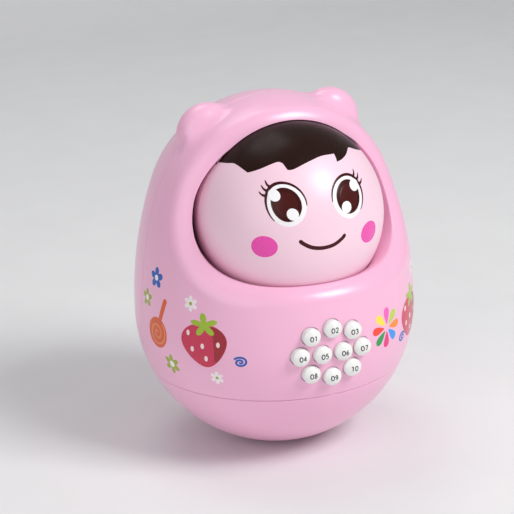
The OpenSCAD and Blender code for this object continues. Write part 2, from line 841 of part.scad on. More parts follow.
module main_board_screws() {
    color(steel) for (p = main_board_spots)
        translate([p[0], p[1], main_board_z + board_t]) screw(board_t + shell_grip);
}

// A drop of black resin over the sound chip
module sound_chip() {
    drop_r = 7;
    drop_h = 2;
    ball_r = (drop_r * drop_r + drop_h * drop_h) / (2 * drop_h);
    color(black) translate([-main_board_l / 5, 0, main_board_z + board_t]) rotate_extrude() intersection() {
        translate([0, drop_h - ball_r]) circle(ball_r, $fn = 4 * $fn);
        square([drop_r, drop_h]);
    }
}

module board_capacitors() {
    can_d = 6;
    can_h = 9;
    color(black) for (y = [-can_d, can_d])
        translate([main_board_l / 5, y, main_board_z + board_t]) cylinder(d = can_d, h = can_h);
}

module speaker_frame() {
    color(steel) translate([0, speaker_y, speaker_z]) to_rear() rotate_extrude() difference() {
        polygon([[0, -basket_depth], [magnet_r, -basket_depth], [speaker_r - speaker_lip, -speaker_flange_t],
                 [speaker_r, -speaker_flange_t], [speaker_r, 0], [0, 0]]);
        polygon([[0, speaker_flange_t - basket_depth], [magnet_r - basket_t, speaker_flange_t - basket_depth],
                 [speaker_r - speaker_lip - basket_t, slit], [0, slit]]);
    }
}

module speaker_cone() {
    edge_r = speaker_r - speaker_lip - basket_t - cone_gap;
    color(black) translate([0, speaker_y, speaker_z]) to_rear() rotate_extrude()
        polygon([[0, cone_cap_r / 2 - cone_low], [cone_cap_r, -cone_low], [edge_r - cone_t, 0],
                 [edge_r, -cone_t], [cone_cap_r, -cone_low - cone_t], [0, -cone_low - cone_t]]);
}

module speaker_magnet() {
    color(iron) translate([0, speaker_y - speaker_depth, speaker_z]) to_rear()
        cylinder(r = magnet_r, h = magnet_h);
}

module speaker_screws() {
    color(steel) for (s = [-1, 1])
        translate([s * clamp_x, speaker_y - speaker_flange_t, speaker_z])
            to_front() screw(short_grip - slit, head_d = 2 * (boss_r + clamp_lap));
}

module battery_case() {
    color(black) difference() {
        union() {
            translate([-case_l / 2, case_y - case_depth, case_z]) cube([case_l, case_depth, case_h]);
            translate([-case_l / 2 - case_ear, case_y - case_flange_t, case_z])
                cube([case_l + 2 * case_ear, case_flange_t, case_h]);
        }
        translate([case_wall - case_l / 2, case_y - case_depth + case_wall, case_z + case_wall])
            cube([case_l - 2 * case_wall, case_depth, case_h - 2 * case_wall]);
        for (s = [-1, 1])
            translate([s * case_screw_x, 0, case_mid_z]) to_rear() cylinder(r = shank_hole_r, h = egg_d);
    }
}

module case_screws() {
    color(steel) for (s = [-1, 1])
        translate([s * case_screw_x, case_y - case_flange_t, case_mid_z]) to_front()
            screw(case_flange_t + short_grip - 2 * slit);
}

// Cells with their raised terminals, laid in opposite directions
module battery_cells() {
    tip_h = 1;
    tip_d = 3.8;
    color(grey) for (i = [0:cells - 1])
        translate([0, cell_y, cell_zs[i]]) rotate([0, i % 2 == 0 ? 90 : -90, 0]) {
            translate([0, 0, -cell_l / 2]) cylinder(d = cell_d, h = cell_l - tip_h);
            translate([0, 0, cell_l / 2 - tip_h]) cylinder(d = tip_d, h = tip_h);
        }
}

// Sprung contact plates at both ends of the case
module battery_contacts() {
    plate_t = 0.5;
    plate_w = 8;
    coil_base_d = 6;
    coil_tip_d = 3;
    color(copper) for (z = cell_zs, s = [-1, 1])
        translate([s * (case_l / 2 - case_wall), cell_y, z]) rotate([0, -90 * s, 0]) {
            translate([-plate_w / 2, -plate_w / 2, 0]) cube([plate_w, plate_w, plate_t]);
            translate([0, 0, plate_t])
                cylinder(d1 = coil_base_d, d2 = coil_tip_d, h = contact_room - plate_t - seat_gap / 2);
        }
}

module battery_door() {
    color(pink) difference() {
        door_cut(door_gap, wall, 0);
        translate([0, case_y, door_screw_z]) to_rear() cylinder(r = shank_hole_r, h = egg_d);
        translate([0, door_screw_y, door_screw_z]) to_rear() cylinder(r = head_hole_r, h = egg_d);
    }
}

module door_screw() {
    color(steel) translate([0, door_screw_y, door_screw_z]) to_rear()
        screw(wall + short_grip, head_h = wall / 2);
}

module switch_body() {
    color(black) rotate([0, 0, -switch_turn]) translate([0, switch_y, switch_z]) difference() {
        union() {
            translate([-switch_w / 2, -switch_t, -switch_l / 2]) cube([switch_w, switch_t, switch_l]);
            translate([-switch_w / 2, -switch_ear_t, -switch_half])
                cube([switch_w, switch_ear_t, 2 * switch_half]);
        }
        translate([-knob_w / 2 - knob_gap, -knob_foot - knob_gap, -slot_half])
            cube([knob_w + 2 * knob_gap, switch_t, 2 * slot_half]);
        for (s = [-1, 1])
            translate([0, -switch_t, s * (switch_l / 2 + switch_ear / 2)]) to_rear()
                cylinder(r = shank_hole_r, h = 2 * switch_t);
    }
}

module switch_screws() {
    color(steel) rotate([0, 0, -switch_turn]) for (s = [-1, 1])
        translate([0, switch_y - switch_ear_t, switch_z + s * (switch_l / 2 + switch_ear / 2)])
            to_front() screw(switch_ear_t + wall - 2 * slit);
}

module switch_knob() {
    knob_top = egg_r(switch_z, 0) + knob_rise;
    color(white) rotate([0, 0, -switch_turn])
        translate([-knob_w / 2, switch_y - knob_foot, switch_z - switch_travel / 2 - knob_l / 2])
            cube([knob_w, knob_top - switch_y + knob_foot, knob_l]);
}

base_bowl();
counterweight();
counterweight_screws();
front_shell();
rear_shell();
shell_screws();
pivot_arm();
arm_screws();
nod_pin();
pin_clips();
gimbal_block();
sway_pins();
face_shell();
head_rear();
head_screws();
head_hanger();
hanger_screws();
pendulum_rod();
pendulum_weight();
pendulum_nut();
button_board();
button_board_screws();
key_switches();
main_board();
main_board_screws();
sound_chip();
board_capacitors();
speaker_frame();
speaker_cone();
speaker_magnet();
speaker_screws();
battery_case();
case_screws();
battery_cells();
battery_contacts();
battery_door();
door_screw();
switch_body();
switch_screws();
switch_knob();
for (i = [0:9])
    button(i);
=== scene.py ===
import math

import bmesh
import bpy
import numpy as np
from mathutils import Matrix, Vector


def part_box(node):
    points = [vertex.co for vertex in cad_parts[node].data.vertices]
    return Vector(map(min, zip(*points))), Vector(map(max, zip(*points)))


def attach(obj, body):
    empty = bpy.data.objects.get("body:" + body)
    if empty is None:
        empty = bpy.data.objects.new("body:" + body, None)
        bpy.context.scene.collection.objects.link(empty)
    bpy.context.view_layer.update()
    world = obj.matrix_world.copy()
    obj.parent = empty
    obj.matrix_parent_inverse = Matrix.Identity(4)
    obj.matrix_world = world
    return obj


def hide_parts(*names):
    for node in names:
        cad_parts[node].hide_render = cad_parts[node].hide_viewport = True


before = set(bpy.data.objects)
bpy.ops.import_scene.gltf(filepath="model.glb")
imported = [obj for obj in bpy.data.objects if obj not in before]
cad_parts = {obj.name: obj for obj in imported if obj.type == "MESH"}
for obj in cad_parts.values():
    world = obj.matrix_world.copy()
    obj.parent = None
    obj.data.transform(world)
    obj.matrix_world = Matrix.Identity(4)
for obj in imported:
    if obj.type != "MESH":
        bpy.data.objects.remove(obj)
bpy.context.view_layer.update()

# Base bowl: the round lower shell that the toy rocks on, glossy pink moulded plastic.
# Its outline is turned round the upright axis, with a small flat foot below and a rim
# inside the seam, where the two hood shells are glued on.

MM = 0.001
EGG_R = 62.5
EGG_H = 157.5
CROWN_R = 55.5
FOOT_CUT = 1.1
FOOT_EDGE_TURN = 0.01
BOWL_Z = EGG_R - FOOT_CUT
CROWN_Z = EGG_H - CROWN_R
RISE = CROWN_Z - BOWL_Z
SIDE_R = (EGG_R**2 - CROWN_R**2 + RISE**2) / (2 * (EGG_R - CROWN_R))
JOIN_Z = CROWN_Z + CROWN_R * RISE / (SIDE_R - CROWN_R)
SEAM_Z = 37.0
WALL = 2.4
SEAM_GAP = 0.06
EDGE = 0.35
RIM_R = 54.77
RIM_T = 1.8
RIM_H = 3.0
SHARP = 40.0
MERGE_DIST = 1e-7
NOISE_LOW = 0.3
NOISE_HIGH = 0.7
COAT_ROUGHNESS = 0.2
BUMP_HEIGHT = 0.0002


def egg_radius(z):
    """Radius of the egg at a height: the bowl's ball, the side's wide arc, the crown's ball."""
    z = np.asarray(z, float)
    ball = np.sqrt(np.maximum(EGG_R**2 - (z - BOWL_Z) ** 2, 0))
    side = EGG_R - SIDE_R + np.sqrt(SIDE_R**2 - (z - BOWL_Z) ** 2)
    crown = np.sqrt(np.maximum(CROWN_R**2 - (z - CROWN_Z) ** 2, 0))
    return np.where(z < BOWL_Z, ball, np.where(z < JOIN_Z, side, crown))


def arc(radius, start, end, steps, middle=(0.0, 0.0)):
    """Points of a round arc in a plane, from one angle to another."""
    t = np.linspace(start, end, steps)
    return np.stack([middle[0] + radius * np.cos(t), middle[1] + radius * np.sin(t)], -1)


def grid_quads(rows, columns, close_rows=False):
    """Corner numbers of the quads of a grid whose columns wrap round."""
    i = np.arange(rows if close_rows else rows - 1)[:, None]
    j = np.arange(columns)[None, :]
    below, beside = (i + 1) % rows * columns, (j + 1) % columns
    quads = [i * columns + j, i * columns + beside, below + beside, below + j]
    return np.stack(np.broadcast_arrays(*quads), -1).reshape(-1, 4)


def spun(outline, sides, close_rows=False):
    """An outline of (radius, height) turned round: x = r cos a, y = r sin a, z = height."""
    outline = np.asarray(outline, float)
    a = np.linspace(0, 2 * np.pi, sides, endpoint=False)
    r, z = outline[:, :1], outline[:, 1:]
    points = np.stack([r * np.cos(a), r * np.sin(a), z + 0 * a], -1)
    return points.reshape(-1, 3), grid_quads(len(outline), sides, close_rows)


def joined(parts):
    """Several (points, quads) shapes as one."""
    counts = np.cumsum([0] + [len(points) for points, _ in parts])
    points = np.concatenate([points for points, _ in parts])
    return points, np.concatenate([quads + n for (_, quads), n in zip(parts, counts)])


def make_mesh(name, points, quads):
    """A mesh from points in millimetres: doubles merged and faces turned outwards."""
    mesh = bpy.data.meshes.new(name)
    mesh.vertices.add(len(points))
    mesh.vertices.foreach_set("co", (np.asarray(points) * MM).ravel())
    mesh.loops.add(quads.size)
    mesh.loops.foreach_set("vertex_index", quads.ravel())
    mesh.polygons.add(len(quads))
    mesh.polygons.foreach_set("loop_start", np.arange(0, quads.size, 4))
    mesh.update(calc_edges=True)
    work = bmesh.new()
    work.from_mesh(mesh)
    bmesh.ops.remove_doubles(work, verts=work.verts, dist=MERGE_DIST)
    bmesh.ops.recalc_face_normals(work, faces=work.faces)
    work.to_mesh(mesh)
    work.free()
    return mesh


def smooth(piece, sharp=SHARP):
    """Smooth shading that keeps edges sharper than the angle."""
    mesh = piece.data
    mesh.polygons.foreach_set("use_smooth", np.ones(len(mesh.polygons), bool))
    mesh.set_sharp_from_angle(angle=math.radians(sharp))


def make_piece(name, shape, material, body, sharp=SHARP):
    """One object that rides on a body, smooth except across edges sharper than the angle."""
    piece = bpy.data.objects.new(name, make_mesh(name, *shape))
    bpy.context.scene.collection.objects.link(piece)
    piece.data.materials.append(material)
    smooth(piece, sharp)
    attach(piece, body)
    return piece


def linear(*srgb):
    """A colour of 0 to 255 as the linear values that shaders take."""
    c = np.array(srgb) / 255
    return (*np.where(c <= 0.04045, c / 12.92, ((c + 0.055) / 1.055) ** 2.4), 1.0)


def group_tree(name, inputs, outputs):
    """An empty node group with its sockets, its two end nodes and a noise maker."""
    tree = bpy.data.node_groups.new(name, "ShaderNodeTree")
    for label, kind in inputs:
        tree.interface.new_socket(label, in_out="INPUT", socket_type=kind)
    for label, kind in outputs:
        tree.interface.new_socket(label, in_out="OUTPUT", socket_type=kind)
    ends = tree.nodes.new("NodeGroupInput"), tree.nodes.new("NodeGroupOutput")
    place = tree.nodes.new("ShaderNodeTexCoord")

    def noise(scale, detail, low, high, stretch=(1, 1, 1)):
        turn = tree.nodes.new("ShaderNodeMapping")
        turn.inputs["Scale"].default_value = stretch
        grain = tree.nodes.new("ShaderNodeTexNoise")
        grain.inputs["Scale"].default_value = scale
        grain.inputs["Detail"].default_value = detail
        span = tree.nodes.new("ShaderNodeMapRange")
        span.inputs["From Min"].default_value = NOISE_LOW
        span.inputs["From Max"].default_value = NOISE_HIGH
        span.inputs["To Min"].default_value = low
        span.inputs["To Max"].default_value = high
        tree.links.new(place.outputs["Object"], turn.inputs["Vector"])
        tree.links.new(turn.outputs["Vector"], grain.inputs["Vector"])
        tree.links.new(grain.outputs["Fac"], span.inputs["Value"])
        return span.outputs["Result"]

    return tree, ends, noise


COLOUR, NUMBER = "NodeSocketColor", "NodeSocketFloat"
surface_in = [("Tint", COLOUR), ("Gloss", NUMBER)]
surface_out = [("Colour", COLOUR), ("Roughness", NUMBER), ("Ripple", NUMBER)]


def surface_group(name, tint, gloss, ripple):
    """A node group: the tint's brightness, the gloss and a height each vary with a noise,
    given as its scale, detail, least and most value."""
    tree, (start, end), noise = group_tree(name, surface_in, surface_out)
    cloud = tree.nodes.new("ShaderNodeHueSaturation")
    haze = tree.nodes.new("ShaderNodeMath")
    haze.operation = "MULTIPLY"
    tree.links.new(start.outputs["Tint"], cloud.inputs["Color"])
    tree.links.new(noise(*tint), cloud.inputs["Value"])
    tree.links.new(start.outputs["Gloss"], haze.inputs[0])
    tree.links.new(noise(*gloss), haze.inputs[1])
    tree.links.new(cloud.outputs["Color"], end.inputs["Colour"])
    tree.links.new(haze.outputs["Value"], end.inputs["Roughness"])
    tree.links.new(noise(*ripple), end.inputs["Ripple"])
    return tree


def finish(name, tree, tint, gloss, bump=0.05, metallic=0.0, coat=0.0, specular=0.5):
    """A material whose colour, roughness and bump come from a surface group."""
    material = bpy.data.materials.new(name)
    material.use_nodes = True
    nodes, link = material.node_tree.nodes, material.node_tree.links.new
    shader = nodes["Principled BSDF"]
    shader.inputs["Metallic"].default_value = metallic
    shader.inputs["Coat Weight"].default_value = coat
    shader.inputs["Specular IOR Level"].default_value = specular
    shader.inputs["Coat Roughness"].default_value = COAT_ROUGHNESS
    group = nodes.new("ShaderNodeGroup")
    group.node_tree = tree
    group.inputs["Tint"].default_value = tint
    group.inputs["Gloss"].default_value = gloss
    relief = nodes.new("ShaderNodeBump")
    relief.inputs["Strength"].default_value = bump
    relief.inputs["Distance"].default_value = BUMP_HEIGHT
    link(group.outputs["Colour"], shader.inputs["Base Color"])
    link(group.outputs["Roughness"], shader.inputs["Roughness"])
    link(group.outputs["Ripple"], relief.inputs["Height"])
    link(relief.outputs["Normal"], shader.inputs["Normal"])
    return material


moulded = surface_group("moulded", (24, 3, 0.985, 1.01), (60, 3, 0.92, 1.08), (450, 2, 0, 1))
pink = finish("pink_plastic", moulded, linear(247, 186, 216), 0.30, coat=0.25)

foot_turn = math.asin(-BOWL_Z / EGG_R)
seam_turn = math.asin((SEAM_Z - SEAM_GAP - EDGE - BOWL_Z) / EGG_R)
skin = arc(EGG_R, foot_turn + FOOT_EDGE_TURN, seam_turn, 60, (0, BOWL_Z))
outwards = np.array([math.cos(seam_turn), math.sin(seam_turn)])
upwards = np.array([-outwards[1], outwards[0]])
bend = np.linspace(0, np.pi / 2, 6)[1:, None]
lip = skin[-1] + EDGE * (upwards * np.sin(bend) - outwards * (1 - np.cos(bend)))
inner_r = EGG_R - WALL
inner_turn = -math.acos((RIM_R - RIM_T) / inner_r)
rim_top = SEAM_Z + RIM_H
rim = [(RIM_R, lip[-1, 1]), (RIM_R, rim_top - EDGE), (RIM_R - EDGE, rim_top), (RIM_R - RIM_T, rim_top)]
hollow = arc(inner_r, inner_turn, -np.pi / 2, 40, (0, BOWL_Z))
bowl_outline = np.concatenate([[(0, 0)], skin, lip, rim, hollow])
bowl = make_piece("bowl", spun(bowl_outline, 160), pink, "root")
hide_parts("base_bowl")

# Inner works: counterweight, pivot, gimbal, pendulum, boards, loudspeaker and batteries.
# They sit inside the shells and keep their solid shapes, with finishes of dull cast iron,
# drawn steel, sheet brass, lacquered board and matt plastic.

drawn = surface_group("drawn_metal", (40, 4, 0.85, 1.1), (260, 3, 0.7, 1.3), (900, 2, 0, 1, (1, 1, 6)))
cast = surface_group("cast_metal", (120, 5, 0.7, 1.3), (160, 4, 0.85, 1.15), (500, 5, 0, 1))
coated = surface_group("lacquer", (160, 6, 0.7, 1.25), (90, 3, 0.8, 1.2), (300, 4, 0, 1))
steel = finish("steel", drawn, (0.60, 0.60, 0.62, 1), 0.32, 0.1, metallic=1.0)
white = finish("white_plastic", moulded, linear(240, 241, 238), 0.25, coat=0.2)
inner_finishes = {
    "iron": finish("iron", cast, (0.09, 0.09, 0.095, 1), 0.6, 0.5, metallic=0.8),
    "steel": steel,
    "board": finish("board", coated, (0.02, 0.15, 0.06, 1), 0.35, 0.2),
    "grey_plastic": finish("grey_plastic", moulded, (0.35, 0.36, 0.38, 1), 0.5, 0.2),
    "black_plastic": finish("black_plastic", moulded, (0.02, 0.02, 0.022, 1), 0.5, 0.2),
    "white_plastic": white,
    "cell_jacket": finish("cell_jacket", drawn, (0.30, 0.32, 0.36, 1), 0.3, 0.1, metallic=0.6),
    "contact_metal": finish("contact_metal", drawn, (0.70, 0.52, 0.25, 1), 0.25, 0.1, metallic=1.0),
}
inner_nodes = {
    "iron": "counterweight pendulum_weight speaker_magnet",
    "steel": "counterweight_screws arm_screws nod_pin sway_pins head_screws hanger_screws "
    "pendulum_rod pendulum_nut button_board_screws main_board_screws speaker_frame "
    "speaker_screws case_screws switch_screws",
    "board": "button_board main_board",
    "grey_plastic": "pivot_arm head_hanger",
    "black_plastic": "pin_clips key_switches sound_chip board_capacitors speaker_cone "
    "battery_case switch_body",
    "white_plastic": "gimbal_block",
    "cell_jacket": "battery_cells",
    "contact_metal": "battery_contacts",
}
for slot_name, node_names in inner_nodes.items():
    for node_name in node_names.split():
        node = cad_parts[node_name]
        for index in range(len(node.data.materials)):
            node.data.materials[index] = inner_finishes[slot_name]

# Rear shell: the back half of the hood with the rear halves of both ears, pink plastic.
# It is found along rays from the hood's middle to the joined egg and ears, given a wall
# and a rounded edge, and then bored for its screws, door, loudspeaker and switch.

MIDDLE = np.array([0.0, 0.0, 60.0])
FARTHEST = 130.0
STEP = 0.01
HALVINGS = 36
WIDEST_TURN = 2.6
INSET = SEAM_GAP + EDGE
EAR_X = 28.476
EAR_Z = 142.367
EAR_R = 13.9
EAR_ROUND = 7.0
EAR_FILLET = 1.0
EAR_FILLET_MORE = 2.8
EAR_FILLET_FROM = 2.0
EAR_FILLET_RUN = 4.0


def unit(vector):
    """The vector at length one, along the last axis."""
    return vector / np.linalg.norm(vector, axis=-1, keepdims=True)


def egg_gap(p):
    """Distance of points from the egg's skin, negative inside."""
    r, z = np.hypot(p[..., 0], p[..., 1]), p[..., 2]
    ball = np.hypot(r, z - BOWL_Z) - EGG_R
    side = np.hypot(r + SIDE_R - EGG_R, z - BOWL_Z) - SIDE_R
    crown = np.hypot(r, z - CROWN_Z) - CROWN_R
    in_crown = (z - CROWN_Z) * (SIDE_R - EGG_R) > r * RISE
    return np.where(z < BOWL_Z, ball, np.where(in_crown, crown, side))


def hood_gap(p):
    """Distance from the egg joined to both round-edged ears by a fillet that widens away
    from the ears' middle plane."""
    egg = egg_gap(p)
    flat = np.hypot(np.abs(p[..., 0]) - EAR_X, p[..., 2] - EAR_Z) - (EAR_R - EAR_ROUND)
    ear = np.hypot(np.maximum(flat, 0), p[..., 1]) - EAR_ROUND
    away = np.clip((np.abs(p[..., 1]) - EAR_FILLET_FROM) / EAR_FILLET_RUN, 0, 1)
    soft = EAR_FILLET + EAR_FILLET_MORE * away * away * (3 - 2 * away)
    near = np.hypot(np.maximum(soft - egg, 0), np.maximum(soft - ear, 0))
    return np.maximum(np.minimum(egg, ear), soft) - near


def halved(test, low, high):
    """The value between low and high up to which a test holds, for whole arrays."""
    for _ in range(HALVINGS):
        middle = (low + high) / 2
        held = test(middle)
        low, high = np.where(held, middle, low), np.where(held, high, middle)
    return low


def reach(ways, gap, level=0.0):
    """Points along ways from the hood's middle at which the gap has risen to a level."""
    zero = np.zeros(ways.shape[:-1])
    far = halved(lambda r: gap(MIDDLE + ways * r[..., None]) < level, zero, zero + FARTHEST)
    return MIDDLE + ways * far[..., None]


def steepest(p, gap):
    """Outward unit normals of a gap's level surfaces, from small differences."""
    steps = STEP * np.eye(3)
    return unit(np.stack([gap(p + s) - gap(p - s) for s in steps], -1))


def hood_fan(side, slope, columns):
    """Ways from the hood's middle over one half of it, as a function of the angle off that
    half's middle way: one for each column, first the columns that end at the split, then
    those that end at the seam. side is -1 in front and 1 behind."""
    mid_way = np.array([0, side * math.cos(slope), math.sin(slope)])
    right = np.array([1.0, 0, 0])
    over = np.array([0, -side * mid_way[2], side * mid_way[1]])
    corner_r = float(egg_radius(SEAM_Z + INSET))
    corner = np.array([math.sqrt(corner_r**2 - INSET**2), side * INSET, SEAM_Z + INSET]) - MIDDLE
    first = math.atan2(corner @ over, corner @ right)
    top = np.linspace(first, np.pi - first, columns[0], endpoint=False)
    low = np.linspace(np.pi - first, 2 * np.pi + first, columns[1], endpoint=False)
    turn = np.concatenate([top, low])[:, None]
    spoke = np.cos(turn) * right + np.sin(turn) * over

    def ways(angle):
        return np.cos(angle)[..., None] * mid_way + np.sin(angle)[..., None] * spoke

    return ways


def hood_skin(side, ways, gap, columns, start, share):
    """Rings over the skin of a hood half by shares of the angle from a start to the split or
    the seam, then in a quarter round over the edge there; with the angle they stop at."""
    def within(angle):
        p = reach(ways(angle), gap)
        return (side * p[..., 1] > INSET) & (p[..., 2] > SEAM_Z + INSET)

    stop = halved(within, start, np.full(len(start), WIDEST_TURN))
    skin = reach(ways(start + (stop - start) * share[:, None]), gap)
    normal = steepest(skin[-1], gap)
    column = np.arange(len(start))[:, None]
    to_split = (column <= columns[0]) * np.array([0, -side, 0])
    to_seam = ((column >= columns[0]) | (column == 0)) * np.array([0, 0, -1.0])
    pull = to_split + to_seam
    along = pull - normal * np.sum(pull * normal, -1, keepdims=True)
    bend = np.linspace(0, np.pi / 2, 5)[1:, None, None]
    edge = skin[-1] + EDGE * (along * np.sin(bend) - normal * (1 - np.cos(bend)))
    return np.concatenate([skin, edge]), stop


def rear_half(slope=0.55, columns=(250, 140), rows=96, inner_rows=30):
    """Rings of the rear shell: out over the skin, round the edge and back inside the wall."""
    ways = hood_fan(1, slope, columns)
    skin, stop = hood_skin(1, ways, hood_gap, columns, np.zeros(sum(columns)), np.linspace(0, 1, rows))
    inside = reach(ways(stop * np.linspace(1, 0, inner_rows)[:, None]), hood_gap, -WALL)
    rings = np.concatenate([skin, inside])
    return rings.reshape(-1, 3), grid_quads(len(rings), len(stop))


def tool(shape):
    """A closed shape as a passing object for cutting or joining."""
    made = bpy.data.objects.new("tool", make_mesh("tool", *shape))
    bpy.context.scene.collection.objects.link(made)
    return made


def boolean(piece, other, operation):
    """Cuts or joins a piece with a tool once and for all; the tool is then gone."""
    step = piece.modifiers.new("tool", "BOOLEAN")
    step.object = other
    step.operation = operation
    step.solver = "EXACT"
    view = bpy.context.evaluated_depsgraph_get()
    result = bpy.data.meshes.new_from_object(piece.evaluated_get(view))
    piece.modifiers.clear()
    piece.data = result
    bpy.data.objects.remove(other)
    smooth(piece)


def stood(shape, place, way):
    """A shape turned so that its z axis runs along a level way, and moved to a place."""
    points, quads = shape
    way = unit(np.asarray(way, float))
    right = unit(np.cross((0, 0, 1), way))
    turned = points @ np.array([right, np.cross(way, right), way])
    return turned + np.asarray(place, float), quads


def rod(radius, start, end, sides=48):
    """A closed round rod along z."""
    return spun([(0, start), (radius, start), (radius, end), (0, end)], sides)


def block(low, high):
    """A closed block between two corners."""
    sides = [(x, y, z) for z in (low[2], high[2]) for x, y in
             ((low[0], low[1]), (high[0], low[1]), (high[0], high[1]), (low[0], high[1]))]
    faces = [(0, 3, 2, 1), (4, 5, 6, 7), (0, 1, 5, 4), (1, 2, 6, 5), (2, 3, 7, 6), (3, 0, 4, 7)]
    return np.array(sides, float), np.array(faces)


REARWARD = (0, 1, 0)
SHELL_SCREWS = [(-54.88, 48.4), (54.88, 48.4), (-55.3, 80.0), (55.3, 80.0)]
SCREW_SEAT = 6.0
BORE_R = 2.9
BOSS_R = 4.4
BOSS_Y = 0.1
CORE_END = 2.0
CUT_FROM = 40.0
CUT_TO = 80.0
DOOR_LOW = (-25.75, 41.05)
DOOR_HIGH = (25.75, 72.8)
GRILLE_Z = 88.6
GRILLE_PITCH = 3.6
GRILLE_R = 1.1
GRILLE_RINGS = 2
SWITCH_TURN = math.radians(46)
SLOT_Z = 70.0
SLOT_HALF = (2.05, 4.3)

rear = make_piece("rear_shell_skin", rear_half(), pink, "root")
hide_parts("rear_shell")
heights = np.linspace(CORE_END, EGG_H - CORE_END, 90)
core = np.stack([egg_radius(heights) - WALL / 2, heights], -1)
core[[0, -1], 0] = 0
bosses = tool(joined([stood(rod(BOSS_R, 0, CUT_TO), (x, BOSS_Y, z), REARWARD) for x, z in SHELL_SCREWS]))
boolean(bosses, tool(spun(core, 120)), "INTERSECT")
boolean(rear, bosses, "UNION")
cutters = [stood(rod(BORE_R, 0, CUT_TO), (x, SCREW_SEAT, z), REARWARD) for x, z in SHELL_SCREWS]
across = range(-GRILLE_RINGS, GRILLE_RINGS + 1)
for i, j in [(i, j) for i in across for j in across if abs(i + j) <= GRILLE_RINGS]:
    hole_x = (i + j / 2) * GRILLE_PITCH
    hole_z = GRILLE_Z + j * math.sqrt(3) / 2 * GRILLE_PITCH
    cutters.append(stood(rod(GRILLE_R, CUT_FROM, CUT_TO, 24), (hole_x, 0, hole_z), REARWARD))
cutters.append(block((DOOR_LOW[0], CUT_FROM, DOOR_LOW[1]), (DOOR_HIGH[0], CUT_TO, DOOR_HIGH[1])))
slot_way = (math.sin(SWITCH_TURN), math.cos(SWITCH_TURN), 0)
slot_low, slot_high = (-SLOT_HALF[0], -SLOT_HALF[1], CUT_FROM), (*SLOT_HALF, CUT_TO)
cutters.append(stood(block(slot_low, slot_high), (0, 0, SLOT_Z), slot_way))
boolean(rear, tool(joined(cutters)), "DIFFERENCE")

# Battery door: a patch of the same skin in pink plastic, a hair smaller than its opening.
# Its edges are rounded over, and one screw in a counterbore near its lower edge holds it.

DOOR_GAP = 0.25
DOOR_ROUND = 0.8
DOOR_SCREW_Z = 45.4
DOOR_HOLE_R = 1.6
DOOR_HOLE_DEEP = 10.0
DOOR_BORE_H = 20.0


def eased(count):
    """Shares from 0 to 1 that crowd towards both ends, as half a cosine wave."""
    return 0.5 - 0.5 * np.cos(np.linspace(0, np.pi, count))


def round_dip(inset, radius):
    """How far a quarter round drops a surface at an inset from its edge."""
    return radius - np.sqrt(np.maximum(radius**2 - np.maximum(radius - inset, 0) ** 2, 0))


def sheet_quads(rows, columns):
    """Corner numbers of the quads of a grid that is open on all sides."""
    i, j = np.arange(rows - 1)[:, None] * columns, np.arange(columns - 1)
    return np.stack([i + j, i + j + 1, i + j + columns + 1, i + j + columns], -1).reshape(-1, 4)


def slab(face, back):
    """A closed slab: two grids of points and a strip round their edges."""
    rows, columns = face.shape[:2]
    n = rows * columns
    quads = sheet_quads(rows, columns)
    ring = np.concatenate([
        np.arange(columns), np.arange(1, rows) * columns + columns - 1,
        n - 2 - np.arange(columns - 1), np.arange(rows - 2, 0, -1) * columns,
    ])
    beside = np.roll(ring, -1)
    strip = np.stack([ring, beside, beside + n, ring + n], -1)
    points = np.concatenate([face.reshape(-1, 3), back.reshape(-1, 3)])
    return points, np.concatenate([quads, quads + n, strip])


def door_patch(columns=90, rows=60):
    """A patch of the egg's skin over (x, height), dipping by a quarter round at its edges,
    with a wall's thickness behind it."""
    half = DOOR_HIGH[0] - DOOR_GAP
    low, high = DOOR_LOW[1] + DOOR_GAP, DOOR_HIGH[1] - DOOR_GAP
    x, z = np.meshgrid(-half + 2 * half * eased(columns), low + (high - low) * eased(rows))
    inset = np.minimum(half - np.abs(x), np.minimum(z - low, high - z))
    y = np.sqrt(egg_radius(z) ** 2 - x**2)
    facing = steepest(np.stack([x, y, z], -1), egg_gap)[..., 1]
    face = np.stack([x, y - facing * round_dip(inset, DOOR_ROUND), z], -1)
    return slab(face, np.stack([x, y - facing * WALL, z], -1))


door = make_piece("battery_door_skin", door_patch(), pink, "root")
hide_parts("battery_door")
door_seat = float(egg_radius(DOOR_SCREW_Z)) - WALL / 2
door_bore = spun([
    (0, -DOOR_HOLE_DEEP), (DOOR_HOLE_R, -DOOR_HOLE_DEEP), (DOOR_HOLE_R, 0),
    (BORE_R, 0), (BORE_R, DOOR_BORE_H), (0, DOOR_BORE_H),
], 48)
boolean(door, tool(stood(door_bore, (0, door_seat, DOOR_SCREW_Z), REARWARD)), "DIFFERENCE")

# Screws at the back: four long ones that join the shells and one in the battery door.
# Bright steel pan heads with a cross recess, sunk in their counterbores.

SCREW_SHARP = 30.0
SCREW_HEAD_R = 2.5
SCREW_HEAD_H = 1.7
SCREW_CROWN = 0.5
SCREW_SHOULDER = 0.4
SHOULDER_IN = 0.12
SHOULDER_DROP = 0.3
SHANK_R = 1.25
POINT_R = 0.2
POINT_L = 1.5
CROSS_HALF = 0.42
CROSS_SLOPE = 0.16
CROSS_REACH = 1.6
CROSS_FADE = 0.3
CROSS_DEEP = 0.9


